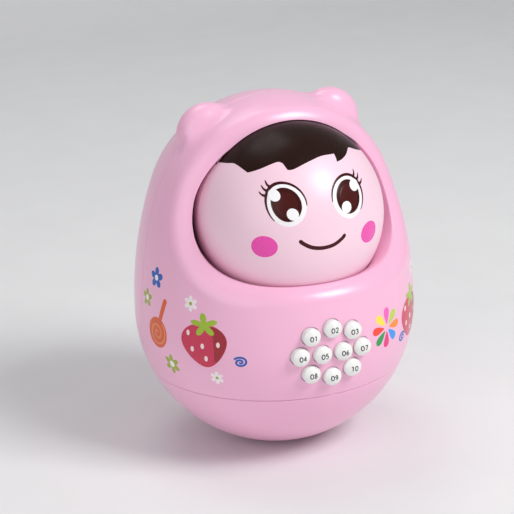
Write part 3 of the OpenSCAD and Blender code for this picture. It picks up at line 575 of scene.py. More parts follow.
def cross_screw(length, rows=34, columns=144):
    """A pan head over a shank: the head's top is a dome pressed down along a cross, and its
    outline then runs round the head's side and down the shank to a point."""
    t = np.linspace(0, 2 * np.pi, columns, endpoint=False)
    r = np.linspace(0, SCREW_HEAD_R - SCREW_SHOULDER, rows)[:, None]
    dome = SCREW_HEAD_H - SCREW_CROWN * (r / SCREW_HEAD_R) ** 2
    beside = np.minimum(np.abs(r * np.cos(t)), np.abs(r * np.sin(t)))
    arm = np.clip((CROSS_HALF - beside) / CROSS_SLOPE, 0, 1)
    arm = np.minimum(arm, np.clip((CROSS_REACH - r) / CROSS_FADE, 0, 1))
    top = np.stack([r * np.cos(t), r * np.sin(t), dome - CROSS_DEEP * arm], -1)
    shoulder = SCREW_HEAD_H - SCREW_CROWN
    outline = np.array([
        (SCREW_HEAD_R - SHOULDER_IN, shoulder), (SCREW_HEAD_R, shoulder - SHOULDER_DROP),
        (SCREW_HEAD_R, 0), (SHANK_R, 0), (SHANK_R, POINT_L - length), (POINT_R, -length), (0, -length),
    ])
    rest = np.stack([outline[:, :1] * np.cos(t), outline[:, :1] * np.sin(t), outline[:, 1:] + 0 * t], -1)
    rings = np.concatenate([top, rest])
    return rings.reshape(-1, 3), grid_quads(len(rings), columns)


shell_screw = cross_screw(SCREW_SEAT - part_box("shell_screws")[0].y / MM)
shell_screw_set = joined([stood(shell_screw, (x, SCREW_SEAT, z), REARWARD) for x, z in SHELL_SCREWS])
shell_screws = make_piece("shell_screw_set", shell_screw_set, steel, "root", SCREW_SHARP)
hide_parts("shell_screws")
door_screw_shape = cross_screw(door_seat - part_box("door_screw")[0].y / MM)
door_screw_shape = stood(door_screw_shape, (0, door_seat, DOOR_SCREW_Z), REARWARD)
door_screw = make_piece("door_screw_cross", door_screw_shape, steel, "root", SCREW_SHARP)
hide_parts("door_screw")

# Power switch knob: a small white slider with rounded edges and three grip ribs.
# It slides up in the slot at the back.

KNOB_HALF = 1.75
KNOB_LOW = 66.0
KNOB_HIGH = 70.0
KNOB_ROOT = 57.0
KNOB_PROUD = 1.2
KNOB_ROUND = 0.5
RIB_H = 0.25
RIB_PITCH = 1.1
RIB_INSET = 0.3
RIB_FADE = 0.4


def knob_block(columns=24, rows=40):
    """A rounded block: over (width, length) its top dips at the edges and swells in ribs."""
    half = (KNOB_HIGH - KNOB_LOW) / 2
    x, y = np.meshgrid(KNOB_HALF * (2 * eased(columns) - 1), half * (2 * eased(rows) - 1))
    inset = np.minimum(KNOB_HALF - np.abs(x), half - np.abs(y))
    ribs = RIB_H * np.cos(2 * np.pi * y / RIB_PITCH) * np.clip((inset - RIB_INSET) / RIB_FADE, 0, 1)
    top = float(egg_radius(KNOB_HIGH)) + KNOB_PROUD - RIB_H + ribs - round_dip(inset, KNOB_ROUND)
    return slab(np.stack([x, y, top], -1), np.stack([x, y, np.full_like(x, KNOB_ROOT)], -1))


knob_shape = stood(knob_block(), (0, 0, (KNOB_LOW + KNOB_HIGH) / 2), slot_way)
knob = make_piece("switch_knob_ribbed", knob_shape, white, "power_switch")
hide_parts("switch_knob")

# Head: a hollow ball of pale skin-coloured plastic in two moulded halves, face and rear.
# Each is an outline turned round the front-to-back axis. The rear half is open for the arm
# that carries it, and both have half of a hole for the pendulum's rod.

HEAD = np.array([0.0, -19.0, 108.0])
HEAD_R = 41.3
HEAD_WALL = 2.0
ARM_HOLE_R = 21.75
ARM_HOLE_EDGE_TURN = 0.01
ROD_HOLE_R = 3.0
ROD_HOLE_FROM = -HEAD_R - 2.0
ROD_HOLE_TO = -HEAD_R + 6.0
SPLIT_TURN = INSET / HEAD_R
INNER_SPLIT_TURN = 0.002
FORWARD = (0, -1, 0)

skin_tone = finish("skin_plastic", moulded, linear(250, 212, 227), 0.37, coat=0.1)
inner_head_r = HEAD_R - HEAD_WALL
arm_hole_turn = math.acos(ARM_HOLE_R / HEAD_R) - ARM_HOLE_EDGE_TURN
inner_hole_turn = math.acos(ARM_HOLE_R / inner_head_r)
bend = np.linspace(0, np.pi / 2, 6)[1:, None]
way_out = np.array([math.cos(SPLIT_TURN), math.sin(SPLIT_TURN)])
way_back = np.array([way_out[1], -way_out[0]])
split_edge = HEAD_R * way_out + EDGE * (way_back * np.sin(bend) - way_out * (1 - np.cos(bend)))
face_outline = np.concatenate([
    arc(HEAD_R, np.pi / 2, SPLIT_TURN, 70), split_edge,
    arc(inner_head_r, INNER_SPLIT_TURN, np.pi / 2, 40),
])
rear_outline = np.concatenate([
    arc(HEAD_R, arm_hole_turn, SPLIT_TURN, 60), split_edge,
    arc(inner_head_r, INNER_SPLIT_TURN, inner_hole_turn, 30),
])
face_shape = stood(spun(face_outline, 180), HEAD, FORWARD)
face = make_piece("face_half", face_shape, skin_tone, "head")
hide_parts("face_shell")
head_rear_shape = stood(spun(rear_outline, 180, close_rows=True), HEAD, REARWARD)
head_rear = make_piece("head_rear_half", head_rear_shape, skin_tone, "head")
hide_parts("head_rear")
rod_points, rod_quads = rod(ROD_HOLE_R, ROD_HOLE_FROM, ROD_HOLE_TO)
for half in (face, head_rear):
    boolean(half, tool((rod_points + HEAD, rod_quads)), "DIFFERENCE")

# Face print: the fringe, eyes, cheeks and mouth of a plain doll's face in glossy inks.
# Each ink is one thin film on the ball, made of patches and pen strokes drawn in a flat map
# of the ball and laid in layers a few hundredths of a millimetre thick.

FACE_SHIFT = -1.8
SUNK = -0.05
FILM_RIM = 0.97
PEN_RIM = 0.85
PEN_STEP = 0.35
HAIR_BACK = math.radians(20)
EYE_U = 14.1
EYE_V = 15.5
EYE_FILMS = {"eye_white": (8.3, 9.1, 0.03), "iris": (6.35, 7.15, 0.05), "pupil": (4.6, 5.4, 0.065)}
HIGHLIGHTS = [(4.3, 3.9, 2.6), (-2.0, -4.1, 2.5)]
HIGHLIGHT_LIFT = 0.085
LINER_HALF = (8.4, 9.2)
LINER_FROM = math.radians(-48)
LINER_TO = math.radians(186)
LINER_PEN = 1.25
LINER_LIFT = 0.075
LINER_ENDS = 0.25
LINER_POWER = 0.8
LASH_TURNS = (22, 37, 52)
LASH_ROOT = (8.3, 9.1)
LASH_TIP = (11.6, 12.6)
LASH_LEAN = 0.05
LASH_BOW = 0.35
LASH_PEN = 1.45
LASH_LIFT = 0.07
LASH_THINNING = 0.7
CHEEK_U = 24.9
CHEEK_V = -2.2
CHEEK_HALF = (5.7, 4.7)
MOUTH_PEN = 1.7
PRINT_LIFT = 0.03

printed = surface_group("printed_ink", (90, 4, 0.96, 1.03), (120, 4, 0.85, 1.2), (700, 3, 0, 1))


def ink(name, *srgb, gloss=0.25, coat=0.2, specular=0.5):
    """A glossy printing ink."""
    return finish(name, printed, linear(*srgb), gloss, 0.04, coat=coat, specular=specular)


def on_ball(centre, radius, shift=0.0):
    """A map from (u, v, h) to a ball seen from the front: v is the arc up, u the arc across
    at that height, h the height above the skin."""
    def place(u, v, h):
        up = v / radius
        turn = (u + shift) / (radius * np.cos(up))
        way = np.stack([np.cos(up) * np.sin(turn), -np.cos(up) * np.cos(turn), np.sin(up)], -1)
        return centre + way * (radius + h)[..., None]
    return place


def patch(place, outline, lift, middle=(0.0, 0.0), rings=8):
    """A thin closed film inside an outline of (u, v) points: rings shrink to the middle on
    top, and once more underneath."""
    outline = np.asarray(outline, float)
    share = np.concatenate([np.linspace(0, FILM_RIM, rings), [1, 1], np.linspace(FILM_RIM, 0, 3)])[:, None]
    high = np.concatenate([np.full(rings, lift), [lift / 2], np.full(4, SUNK)])[:, None]
    u = middle[0] + share * (outline[:, 0] - middle[0])
    v = middle[1] + share * (outline[:, 1] - middle[1])
    points = place(u, v, high + 0 * u)
    return points.reshape(-1, 3), grid_quads(len(share), len(outline))


def oval(u, v, wide, high, lean=0.0, steps=64):
    """Outline of an oval about (u, v) with half-sizes, leaning by an angle."""
    t = np.linspace(0, 2 * np.pi, steps, endpoint=False)
    a, b = wide * np.cos(t), high * np.sin(t)
    c, s = math.cos(lean), math.sin(lean)
    return np.stack([u + a * c - b * s, v + a * s + b * c], -1)


def curve(points, steps=14):
    """A smooth line through points, each stretch a cubic with its neighbours' slope."""
    p = np.asarray(points, float)
    p = np.concatenate([[2 * p[0] - p[1]], p, [2 * p[-1] - p[-2]]])
    t = np.linspace(0, 1, steps, endpoint=False)[None, :, None]
    a, b, c, d = (p[i:len(p) - 3 + i, None] for i in range(4))
    run = 0.5 * (2 * b + (c - a) * t + (2 * a - 5 * b + 4 * c - d) * t**2 + (3 * b - a - 3 * c + d) * t**3)
    return np.concatenate([run.reshape(-1, 2), p[-2:-1]])


def stroke(place, line, width, lift, taper=None):
    """A pen stroke along a line: a flat ribbon with sunk edges and round ends, its width
    scaled by taper of the share of its length."""
    line = np.asarray(line, float)
    run = np.concatenate([[0], np.cumsum(np.linalg.norm(np.diff(line, axis=0), axis=1))])
    half = width / 2
    cap = min(half, run[-1] / 2) * (1 - np.cos(np.linspace(0, np.pi / 2, 6)))
    core = np.linspace(cap[-1], run[-1] - cap[-1], 2 + int(run[-1] / PEN_STEP))
    s = np.unique(np.concatenate([cap, core, run[-1] - cap]))
    at = np.stack([np.interp(s, run, line[:, k]) for k in (0, 1)], -1)
    ahead = unit(np.gradient(at, axis=0))
    across = np.stack([-ahead[:, 1], ahead[:, 0]], -1)
    near_end = np.clip(np.minimum(s, run[-1] - s) / half, 0, 1)
    wide = half * np.sqrt(1 - (1 - near_end) ** 2)
    if taper is not None:
        wide = wide * taper(s / run[-1])
    side = np.array([-1, -PEN_RIM, 0, PEN_RIM, 1, 1, -1])
    high = np.array([lift / 2, lift, lift, lift, lift / 2, SUNK, SUNK])
    uv = at[:, None] + across[:, None] * (wide[:, None] * side)[..., None]
    points = place(uv[..., 0], uv[..., 1], high + 0 * uv[..., 0])
    return points.reshape(-1, 3), grid_quads(len(s), len(side))


on_face = on_ball(HEAD, HEAD_R, FACE_SHIFT)
fringe_locks = [
    [(-49.0, 28.2), (-46.0, 29.4), (-39, 30.6), (-35, 31.3), (-32.4, 30.8)],
    [(-31.9, 28.0), (-28.5, 28.2), (-22, 30.4), (-13.6, 34.0), (-11.2, 33.6)],
    [(-10.8, 30.3), (-7.6, 30.5), (-1, 33.2), (6, 35.2), (13.0, 34.9)],
    [(12.9, 30.9), (16.4, 31.4), (20.2, 32.6), (24.8, 34.5), (27.9, 33.4), (33.5, 31.0), (46.5, 27.0)],
]
smile = [(-10.3, 0.5), (-8.6, -1.1), (-4.8, -3.1), (0, -3.8), (4.8, -3.1), (8.6, -1.1), (10.3, 0.5)]


def hair_film(behind, lift=0.05, rows=26):
    """The fringe: a film ruled from its lower edge back to the split of the ball, or behind
    the split from there on, each ruling a share of the angle from the face's middle way."""
    edge = np.concatenate([curve(lock) for lock in fringe_locks])
    way = unit(on_face(edge[:, 0], edge[:, 1], np.zeros(len(edge))) - HEAD)
    turn = np.minimum.accumulate(np.unwrap(np.arctan2(way[:, 2], way[:, 0])))
    angle = np.arccos(-way[:, 1])
    first = np.full_like(angle, np.pi / 2 + SPLIT_TURN) if behind else angle
    last = np.pi / 2 + (HAIR_BACK if behind else -SPLIT_TURN)
    share = np.concatenate([np.linspace(0, 1, rows), np.linspace(1, 0, rows)])[:, None]
    spread = first + (last - first) * share
    ball = np.stack([np.sin(spread) * np.cos(turn), -np.cos(spread), np.sin(spread) * np.sin(turn)], -1)
    high = np.concatenate([[lift / 2], np.full(rows - 2, lift), [lift / 2], np.full(rows, SUNK)])
    points = HEAD + ball * (HEAD_R + high)[:, None, None]
    count, around = len(turn), len(share)
    ends = np.arange(rows - 1)
    cap = np.stack([ends, ends + 1, around - 2 - ends, around - 1 - ends], -1)
    quads = np.concatenate([grid_quads(count, around), cap, cap + (count - 1) * around])
    return points.swapaxes(0, 1).reshape(-1, 3), quads


def heavy_middle(t):
    """Share of the pen's width along an eye's liner: a power of a sine, thin at both ends."""
    return LINER_ENDS + (1 - LINER_ENDS) * np.sin(np.pi * np.clip(t, 0, 1)) ** LINER_POWER


def thin_tip(t):
    """Share of the pen's width along a lash, falling evenly to its tip."""
    return 1 - LASH_THINNING * t


def lash(side, turn):
    """Line of a lash about the eye's middle: from the liner outwards with a slight bow."""
    root = np.array([side * LASH_ROOT[0] * math.cos(turn), LASH_ROOT[1] * math.sin(turn)])
    turn = turn + LASH_LEAN
    tip = np.array([side * LASH_TIP[0] * math.cos(turn), LASH_TIP[1] * math.sin(turn)])
    bow = (root + tip) / 2 + np.array([side * LASH_BOW, -LASH_BOW])
    return curve([root, bow, tip], 8)


face_colours = {
    "hair": ink("hair_ink", 38, 20, 15, gloss=0.3, coat=0.0, specular=0.12),
    "eye_white": ink("eye_white_ink", 250, 246, 248),
    "iris": ink("iris_ink", 62, 14, 13, coat=0.0, specular=0.25),
    "pupil": ink("pupil_ink", 72, 20, 18, coat=0.0, specular=0.25),
    "highlight": ink("highlight_ink", 252, 250, 251),
    "outline": ink("outline_ink", 64, 12, 22, coat=0.0, specular=0.25),
    "cheek": ink("cheek_ink", 240, 70, 175),
    "mouth": ink("mouth_ink", 66, 6, 16, coat=0.0, specular=0.25),
}
face_films = {name: [] for name in face_colours}
face_films["hair"] += [hair_film(behind) for behind in (False, True)]
for side in (-1, 1):
    middle = np.array([side * EYE_U, EYE_V])
    for name, (wide, high, lift) in EYE_FILMS.items():
        face_films[name].append(patch(on_face, oval(*middle, wide, high), lift, middle))
    for right, up, radius in HIGHLIGHTS:
        spot = middle + (side * right, up)
        face_films["highlight"].append(patch(on_face, oval(*spot, radius, radius), HIGHLIGHT_LIFT, spot))
    sweep = np.linspace(LINER_FROM, LINER_TO, 60)
    liner = middle + np.stack([side * LINER_HALF[0] * np.cos(sweep), LINER_HALF[1] * np.sin(sweep)], -1)
    face_films["outline"].append(stroke(on_face, liner, LINER_PEN, LINER_LIFT, heavy_middle))
    for turn in LASH_TURNS:
        line = middle + lash(side, math.radians(turn))
        face_films["outline"].append(stroke(on_face, line, LASH_PEN, LASH_LIFT, thin_tip))
    spot = (side * CHEEK_U, CHEEK_V)
    face_films["cheek"].append(patch(on_face, oval(*spot, *CHEEK_HALF), PRINT_LIFT, spot))
face_films["mouth"].append(stroke(on_face, curve(smile), MOUTH_PEN, PRINT_LIFT))
for name, films in face_films.items():
    make_piece("print_" + name, joined(films), face_colours[name], "head")

# Front shell: the front half of the hood with the ears' front halves and the face opening.
# Pink plastic, made like the rear shell. The opening's edge is rolled in to a collar round
# the head, and ten holes are bored for the buttons.

SCOOP_R = 37.5
SCOOP_Y = -58.0
SCOOP_Z = 125.0
SCOOP_BOW = 0.005
LIP_ROUND = 8.0
LIP_DEPTH = 4.5
LIP_WALL = 0.8
LIP_CROWDING = 1.3
OPENING_TURN = 1.0
HEAD_CLEAR = 0.35
CLEAR_R = HEAD_R + HEAD_CLEAR
COLLAR_ROLL = 0.8
COLLAR_DEEP = 3.0
COLLAR_BACK = 0.45
COLLAR_WALL = 0.8
COLLAR_SLOT = 0.2
BUTTON_HOLE_R = 4.15


def open_hood_gap(p):
    """Distance from the hood less the scoop for the head, their meeting edge rolled over."""
    y, z = p[..., 1] - SCOOP_Y, p[..., 2] - SCOOP_Z
    scoop = np.where(z > 0, y + SCOOP_BOW * z**2, np.where(y > 0, np.hypot(y, z), -z)) - SCOOP_R
    hood = hood_gap(p)
    roll = np.hypot(np.maximum(LIP_ROUND + hood, 0), np.maximum(LIP_ROUND - scoop, 0))
    return np.minimum(-LIP_ROUND, np.maximum(hood, -scoop)) + roll


def from_head(p):
    """Distance of points from the head's middle."""
    return np.linalg.norm(p - HEAD, axis=-1)


def collar_rings(lip, inwards, rows=14):
    """Rings of the collar from its seat by the head out to the lip: in each column a cubic
    Bezier curve that leaves the lip inwards, turns rearward and stays clear of the ball."""
    rearward = np.array([0, 1.0, 0])
    rolled = lip + COLLAR_ROLL * inwards
    seat = HEAD + CLEAR_R * unit(unit(lip - HEAD) + COLLAR_BACK * rearward)
    t = np.linspace(1, 0, rows, endpoint=False)[:, None, None]
    bow = 3 * t * (1 - t) ** 2 * rolled + 3 * t**2 * (1 - t) * (rolled + COLLAR_DEEP * rearward)
    rings = (1 - t) ** 3 * lip + bow + t**3 * seat
    return HEAD + unit(rings - HEAD) * np.maximum(from_head(rings), CLEAR_R)[..., None]


def front_half(slope=0.92, columns=(270, 150), rows=90, inner_rows=26):
    """Rings of the front shell: along the collar, over the skin, round the edge, back inside
    the wall, where they stay outside a ball about the collar, and to the collar's back."""
    ways = hood_fan(-1, slope, columns)

    def in_opening(angle):
        p = reach(ways(angle), open_hood_gap)
        return (from_head(p) < CLEAR_R) | (egg_gap(p) < -LIP_DEPTH)

    zero = np.zeros(sum(columns))
    start = halved(in_opening, zero, zero + OPENING_TURN)
    share = np.linspace(0, 1, rows) ** LIP_CROWDING
    skin, stop = hood_skin(-1, ways, open_hood_gap, columns, start, share)
    collar = collar_rings(skin[0], unit(skin[0] - skin[1]))
    behind = (collar + COLLAR_WALL * unit(collar - HEAD))[len(collar) // 2 - 1::-1]
    slot_r = np.maximum(from_head(skin[0]), CLEAR_R) + COLLAR_WALL + COLLAR_SLOT

    def crowded(angle):
        return from_head(reach(ways(angle), open_hood_gap)) < slot_r + LIP_WALL

    inner_start = halved(crowded, start, stop)
    inner_ways = ways(inner_start + (stop - inner_start) * np.linspace(1, 0, inner_rows)[:, None])
    wall = reach(inner_ways, open_hood_gap, -WALL)
    towards = inner_ways @ (HEAD - MIDDLE)
    depth = towards**2 - np.sum((HEAD - MIDDLE) ** 2) + slot_r**2
    leave = np.where(depth > 0, towards + np.sqrt(np.maximum(depth, 0)), 0)
    far = np.maximum(np.linalg.norm(wall - MIDDLE, axis=-1), leave)
    inside = MIDDLE + inner_ways * far[..., None]
    rings = np.concatenate([collar, skin, inside, behind])
    return rings.reshape(-1, 3), grid_quads(len(rings), len(zero), close_rows=True)


button_boxes = {name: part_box(name) for name in [f"button_{i:02d}" for i in range(1, 11)]}
button_spots = {}
for name, (low, high) in button_boxes.items():
    button_spots[name] = ((low.x + high.x) / 2 / MM, (low.z + high.z) / 2 / MM)
front = make_piece("front_shell_skin", front_half(), pink, "root")
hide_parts("front_shell")
button_hole = rod(BUTTON_HOLE_R, CUT_FROM, CUT_TO, 64)
holes = [stood(button_hole, (x, 0, z), FORWARD) for x, z in button_spots.values()]
boolean(front, tool(joined(holes)), "DIFFERENCE")

# Buttons: ten white domed caps with a flange behind the skin and a short stem.
# Each is an outline turned round its own axis and rides its own sliding body, with its
# number printed on the dome in dark ink.

CAP_R = 3.9
CAP_ROUND = 0.5
CAP_CORNER_DROP = 0.3
CAP_SIDE_DROP = 0.75
DOME_R = 4.8
FLANGE_R = 4.5
FLANGE_T = 1.2
STEM_R = 1.5
STEM_BEHIND = 2.2
DIGIT_W = 1.35
DIGIT_GAP = 0.45
DIGIT_MIDDLE = 0.8
DIGIT_PEN = 0.46
DIGIT_LIFT = 0.02

legend_ink = ink("legend_ink", 34, 32, 36, gloss=0.3)
digits = {
    "0": [("curve", [(0.5, 1.6), (0.08, 1.2), (0.08, 0.4), (0.5, 0), (0.92, 0.4), (0.92, 1.2), (0.46, 1.6)])],
    "1": [("line", [(0.2, 1.25), (0.58, 1.6), (0.58, 0)])],
    "2": [("curve", [(0.08, 1.2), (0.25, 1.53), (0.62, 1.58), (0.9, 1.22), (0.7, 0.8), (0.08, 0.05)]),
          ("line", [(0.08, 0.03), (0.95, 0.03)])],
    "3": [("curve", [(0.1, 1.42), (0.5, 1.6), (0.88, 1.22), (0.4, 0.86)]),
          ("curve", [(0.42, 0.84), (0.95, 0.45), (0.5, 0.0), (0.05, 0.2)])],
    "4": [("line", [(0.7, 0), (0.7, 1.6), (0.05, 0.5), (0.98, 0.5)])],
    "5": [("line", [(0.88, 1.58), (0.2, 1.58), (0.14, 0.9)]),
          ("curve", [(0.15, 0.88), (0.6, 1.0), (0.95, 0.5), (0.5, 0.0), (0.05, 0.2)])],
    "6": [("curve", [(0.8, 1.52), (0.3, 1.2), (0.08, 0.5), (0.5, 0.0), (0.92, 0.45), (0.5, 0.88),
                     (0.12, 0.55)])],
    "7": [("line", [(0.05, 1.58), (0.95, 1.58), (0.35, 0.0)])],
    "8": [("curve", [(0.5, 0.85), (0.12, 1.2), (0.5, 1.6), (0.88, 1.2), (0.5, 0.85), (0.06, 0.42), (0.5, 0),
                     (0.94, 0.42), (0.53, 0.84)])],
    "9": [("curve", [(0.2, 0.08), (0.7, 0.4), (0.92, 1.1), (0.5, 1.6), (0.08, 1.15), (0.5, 0.72),
                     (0.88, 1.05)])],
}


def cap_outline(top, root):
    """Outline of a button from its top to its root: the dome, an edge bowed as a parabola,
    the cap's side, the flange and the stem."""
    edge_turn = math.asin((CAP_R - CAP_ROUND) / DOME_R)
    dome = arc(DOME_R, np.pi / 2, np.pi / 2 - edge_turn, 16, (0, top - DOME_R))
    corner = np.array([CAP_R, dome[-1, 1] - CAP_CORNER_DROP])
    side_top = np.array([CAP_R, dome[-1, 1] - CAP_SIDE_DROP])
    t = np.linspace(0, 1, 7)[1:, None]
    edge = dome[-1] * (1 - t) ** 2 + 2 * corner * t * (1 - t) + side_top * t**2
    flange = root + STEM_BEHIND
    rest = [
        (CAP_R, flange + FLANGE_T), (FLANGE_R, flange + FLANGE_T), (FLANGE_R, flange),
        (STEM_R, flange), (STEM_R, root), (0, root),
    ]
    return np.concatenate([dome, edge, rest])


for name, (x, z) in button_spots.items():
    low, high = button_boxes[name]
    top, root = -low.y / MM, -high.y / MM
    cap = stood(spun(cap_outline(top, root), 64), (x, 0, z), FORWARD)
    button = make_piece(name + "_cap", cap, white, name)
    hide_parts(name)
    on_dome = on_ball(np.array([x, DOME_R - top, z]), DOME_R)
    strokes = []
    for index, digit in enumerate(name[-2:]):
        corner_u = (index - 1) * (DIGIT_W + DIGIT_GAP) + DIGIT_GAP / 2
        for kind, points in digits[digit]:
            line = np.array(curve(points) if kind == "curve" else points, float)
            line = line * DIGIT_W + (corner_u, -DIGIT_MIDDLE * DIGIT_W)
            strokes.append(stroke(on_dome, line, DIGIT_PEN, DIGIT_LIFT))
    make_piece(name + "_number", joined(strokes), legend_ink, name)

# Body prints: fruit, sweets and flowers on both sides of the buttons, thin glossy inks.
# Each ink is one film on the egg; the motifs are plain ones redrawn from a few curves.

SHADE_LIFT = 0.04
DETAIL_LIFT = 0.055
HEART_LIFT = 0.05
LINE_LIFT = 0.035
BERRY_HALF = 11.3
BERRY_NARROWING = 0.3
BERRY_POWER = 1.5
BERRY_TOP = 7.8
BERRY_TIP = 11.8
NOTCH_DEEP = 0.9
NOTCH_TURN = 0.25
FLANK_LOW = -9.6
FLANK_HIGH = 6.3
FLANK_U = 2.3
FLANK_BOW = 2.6
FLANK_BOW_RUN = 9.5
FLANK_RIM = 0.985
FLANK_MIDDLE = (7.0, -0.5)
SEED_SPOTS = [(-7.0, 3.6), (-6.0, -3.6), (-0.6, -2.2), (7.0, -1.6), (0.2, -7.8)]
SEED_HALF = (0.85, 1.25)
SEED_LEAN = -0.2
LEAF_SPOT = (1.6, 7.0)
LEAF_SIZE = (1.2, 0.95)
LEAF_INNER = 1.9
LEAF_OUTER = 5.6
LEAF_SHARP = 1.6
SWEET_HALF = (6.7, 7.0)
STICK = [(0, 6.4), (0.2, 17.5)]
STICK_PEN = 2.4
SWEET_PEN = 0.75
SWEET_TURNS = (0.6, 4.4 * np.pi)
SWEET_GROW = (0.42, 0.44)
SWIRL_LEAN = 0.2
SWIRL_AHEAD = 2.4
SWIRL_PEN = 0.95
SWIRL_TURNS = (0.4, 4.0 * np.pi)
SWIRL_GROW = (0.26, 0.19)
PETAL_AT = 0.58
PETAL_HALF = 0.4
PETAL_WIDE = 0.27675
PETAL_DROP = 0.38
PETAL_MIDDLE = 0.68


def on_egg(turn, height, lean=0.0):
    """A map from (u, v, h) to the egg about a place: u round it, v up its skin, h outwards."""
    c, s = math.cos(lean), math.sin(lean)

    def place(u, v, h):
        z = height + u * s + v * c
        r = egg_radius(z)
        slope = (egg_radius(z + STEP) - egg_radius(z - STEP)) / (2 * STEP)
        out = 1 / np.sqrt(1 + slope**2)
        a = math.radians(turn) + (u * c - v * s) / r
        ring = r + h * out
        return np.stack([ring * np.sin(a), -ring * np.cos(a), z - h * slope * out], -1)
    return place


def petals(count, inner, outer, sharp, steps=96):
    """Outline of a flower: the radius swings between inner and outer as a power of |cos| of
    the turn."""
    t = np.linspace(0, 2 * np.pi, steps, endpoint=False)
    r = inner + (outer - inner) * np.abs(np.cos(count * (t - np.pi / 2) / 2)) ** sharp
    return np.stack([r * np.cos(t), r * np.sin(t)], -1)


def spiral(turns, grow, steps, ahead=0.0):
    """A line that winds outwards: its half-sizes are the turn times two growths."""
    t = np.linspace(*turns, steps)
    return np.stack([grow[0] * t * np.cos(t + ahead), grow[1] * t * np.sin(t + ahead)], -1)


def flank_outline(outline):
    """The part of a berry's outline beyond an upright bow, closed along the bow."""
    v = np.linspace(FLANK_LOW, FLANK_HIGH, 24)
    bow = np.stack([FLANK_U + FLANK_BOW * np.cos(v / FLANK_BOW_RUN), v], -1)
    v = np.linspace(FLANK_HIGH, FLANK_LOW, 40)
    side = outline[outline[:, 0] > 0]
    order = np.argsort(side[:, 1])
    edge = np.stack([FLANK_RIM * np.interp(v, side[order, 1], side[order, 0]), v], -1)
    return np.concatenate([bow, edge])


body_films = {}


def print_on(name, film):
    """Adds a film to one of the body's inks."""
    body_films.setdefault(name, []).append(film)


def strawberry(turn, height, lean):
    """A heart-like berry with a darker flank, five pale seeds and a leafy star on top. Its
    half-width narrows to the tip, and a bell curve notches its top."""
    spot = on_egg(turn, height, lean)
    t = np.linspace(0, 2 * np.pi, 120, endpoint=False)
    wide = BERRY_HALF * (1 - BERRY_NARROWING * np.clip(-np.sin(t), 0, 1) ** BERRY_POWER)
    high = BERRY_TOP - NOTCH_DEEP * np.exp(-((t - np.pi / 2) / NOTCH_TURN) ** 2)
    outline = np.stack([wide * np.cos(t), np.where(np.sin(t) > 0, high, BERRY_TIP) * np.sin(t)], -1)
    print_on("berry_red", patch(spot, outline, PRINT_LIFT, rings=12))
    print_on("berry_dark", patch(spot, flank_outline(outline), SHADE_LIFT, FLANK_MIDDLE))
    for seed in SEED_SPOTS:
        outline = oval(*seed, *SEED_HALF, SEED_LEAN, 24)
        print_on("seed_white", patch(spot, outline, DETAIL_LIFT, seed, 3))
    leaf = petals(5, LEAF_INNER, LEAF_OUTER, LEAF_SHARP, 100) * LEAF_SIZE + LEAF_SPOT
    print_on("leaf_green", patch(spot, leaf, DETAIL_LIFT, LEAF_SPOT, 5))


def lollipop(turn, height, lean):
    """A round sweet on a stick, with a paler spiral."""
    spot = on_egg(turn, height, lean)
    print_on("orange", patch(spot, oval(0, 0, *SWEET_HALF), PRINT_LIFT))
    print_on("orange", stroke(spot, STICK, STICK_PEN, PRINT_LIFT))
    line = spiral(SWEET_TURNS, SWEET_GROW, 120)
    print_on("orange_pale", stroke(spot, line, SWEET_PEN, HEART_LIFT))


def swirl(turn, height, flip):
    """A small snail-shell swirl drawn with one stroke; a flip of -1 mirrors it."""
    spot = on_egg(turn, height, SWIRL_LEAN * flip)
    line = spiral(SWIRL_TURNS, SWIRL_GROW, 100, SWIRL_AHEAD) * (flip, 1)
    print_on("blue", stroke(spot, line, SWIRL_PEN, LINE_LIFT))


def flower(turn, height, name, count, inner, outer, heart, heart_r, sharp=0.8):
    """A flat flower of one ink with a round heart of another."""
    spot = on_egg(turn, height)
    print_on(name, patch(spot, petals(count, inner, outer, sharp), PRINT_LIFT, rings=5))
    print_on(heart, patch(spot, oval(0, 0, heart_r, heart_r, steps=32), HEART_LIFT, rings=3))


def petal_wheel(turn, height, radius):
    """Eight petals round an open middle, each of another colour: ovals whose width falls
    towards the middle like a drop's."""
    spot = on_egg(turn, height)
    names = ("petal_pink", "petal_lime", "petal_orange", "petal_blue", "petal_magenta", "petal_green",
             "petal_red", "petal_yellow")
    t = np.linspace(0, 2 * np.pi, 48, endpoint=False)
    along = radius * (PETAL_AT + PETAL_HALF * np.cos(t))
    across = radius * PETAL_WIDE * np.sin(t) * (1 - PETAL_DROP + PETAL_DROP * np.cos(t))
    for index, name in enumerate(names):
        a = math.pi / 2 - index * math.pi / 4
        ahead, aside = np.array([math.cos(a), math.sin(a)]), np.array([-math.sin(a), math.cos(a)])
        outline = along[:, None] * ahead + across[:, None] * aside
        print_on(name, patch(spot, outline, LINE_LIFT, PETAL_MIDDLE * radius * ahead, 4))


strawberry(-51.5, 64.0, 0.12)
strawberry(49.6, 62.2, 0.05)
lollipop(-76.3, 62.0, -0.35)
lollipop(78.0, 62.0, 0.35)
swirl(-36.2, 56.3, 1)
swirl(40.5, 53.2, -1)
flower(-77.3, 86.2, "blue", 5, 2.0, 4.6, "pale_white", 1.3)
flower(77.3, 86.2, "blue", 5, 2.0, 4.6, "pale_white", 1.3)
flower(-84.0, 75.6, "green", 5, 1.8, 4.2, "pale_white", 1.3, 1.2)
flower(-68.9, 49.4, "green", 6, 2.2, 4.6, "pale_white", 1.5, 1.2)
flower(68.9, 49.4, "green", 6, 2.2, 4.6, "pale_white", 1.5, 1.2)
flower(-57.0, 79.6, "pale_white", 6, 1.5, 3.5, "green", 0.8)
flower(-46.6, 47.7, "pale_white", 6, 1.4, 3.2, "green", 0.7)
flower(57.0, 79.6, "pale_white", 6, 1.5, 3.5, "green", 0.8)
petal_wheel(27.6, 62.2, 9.3)

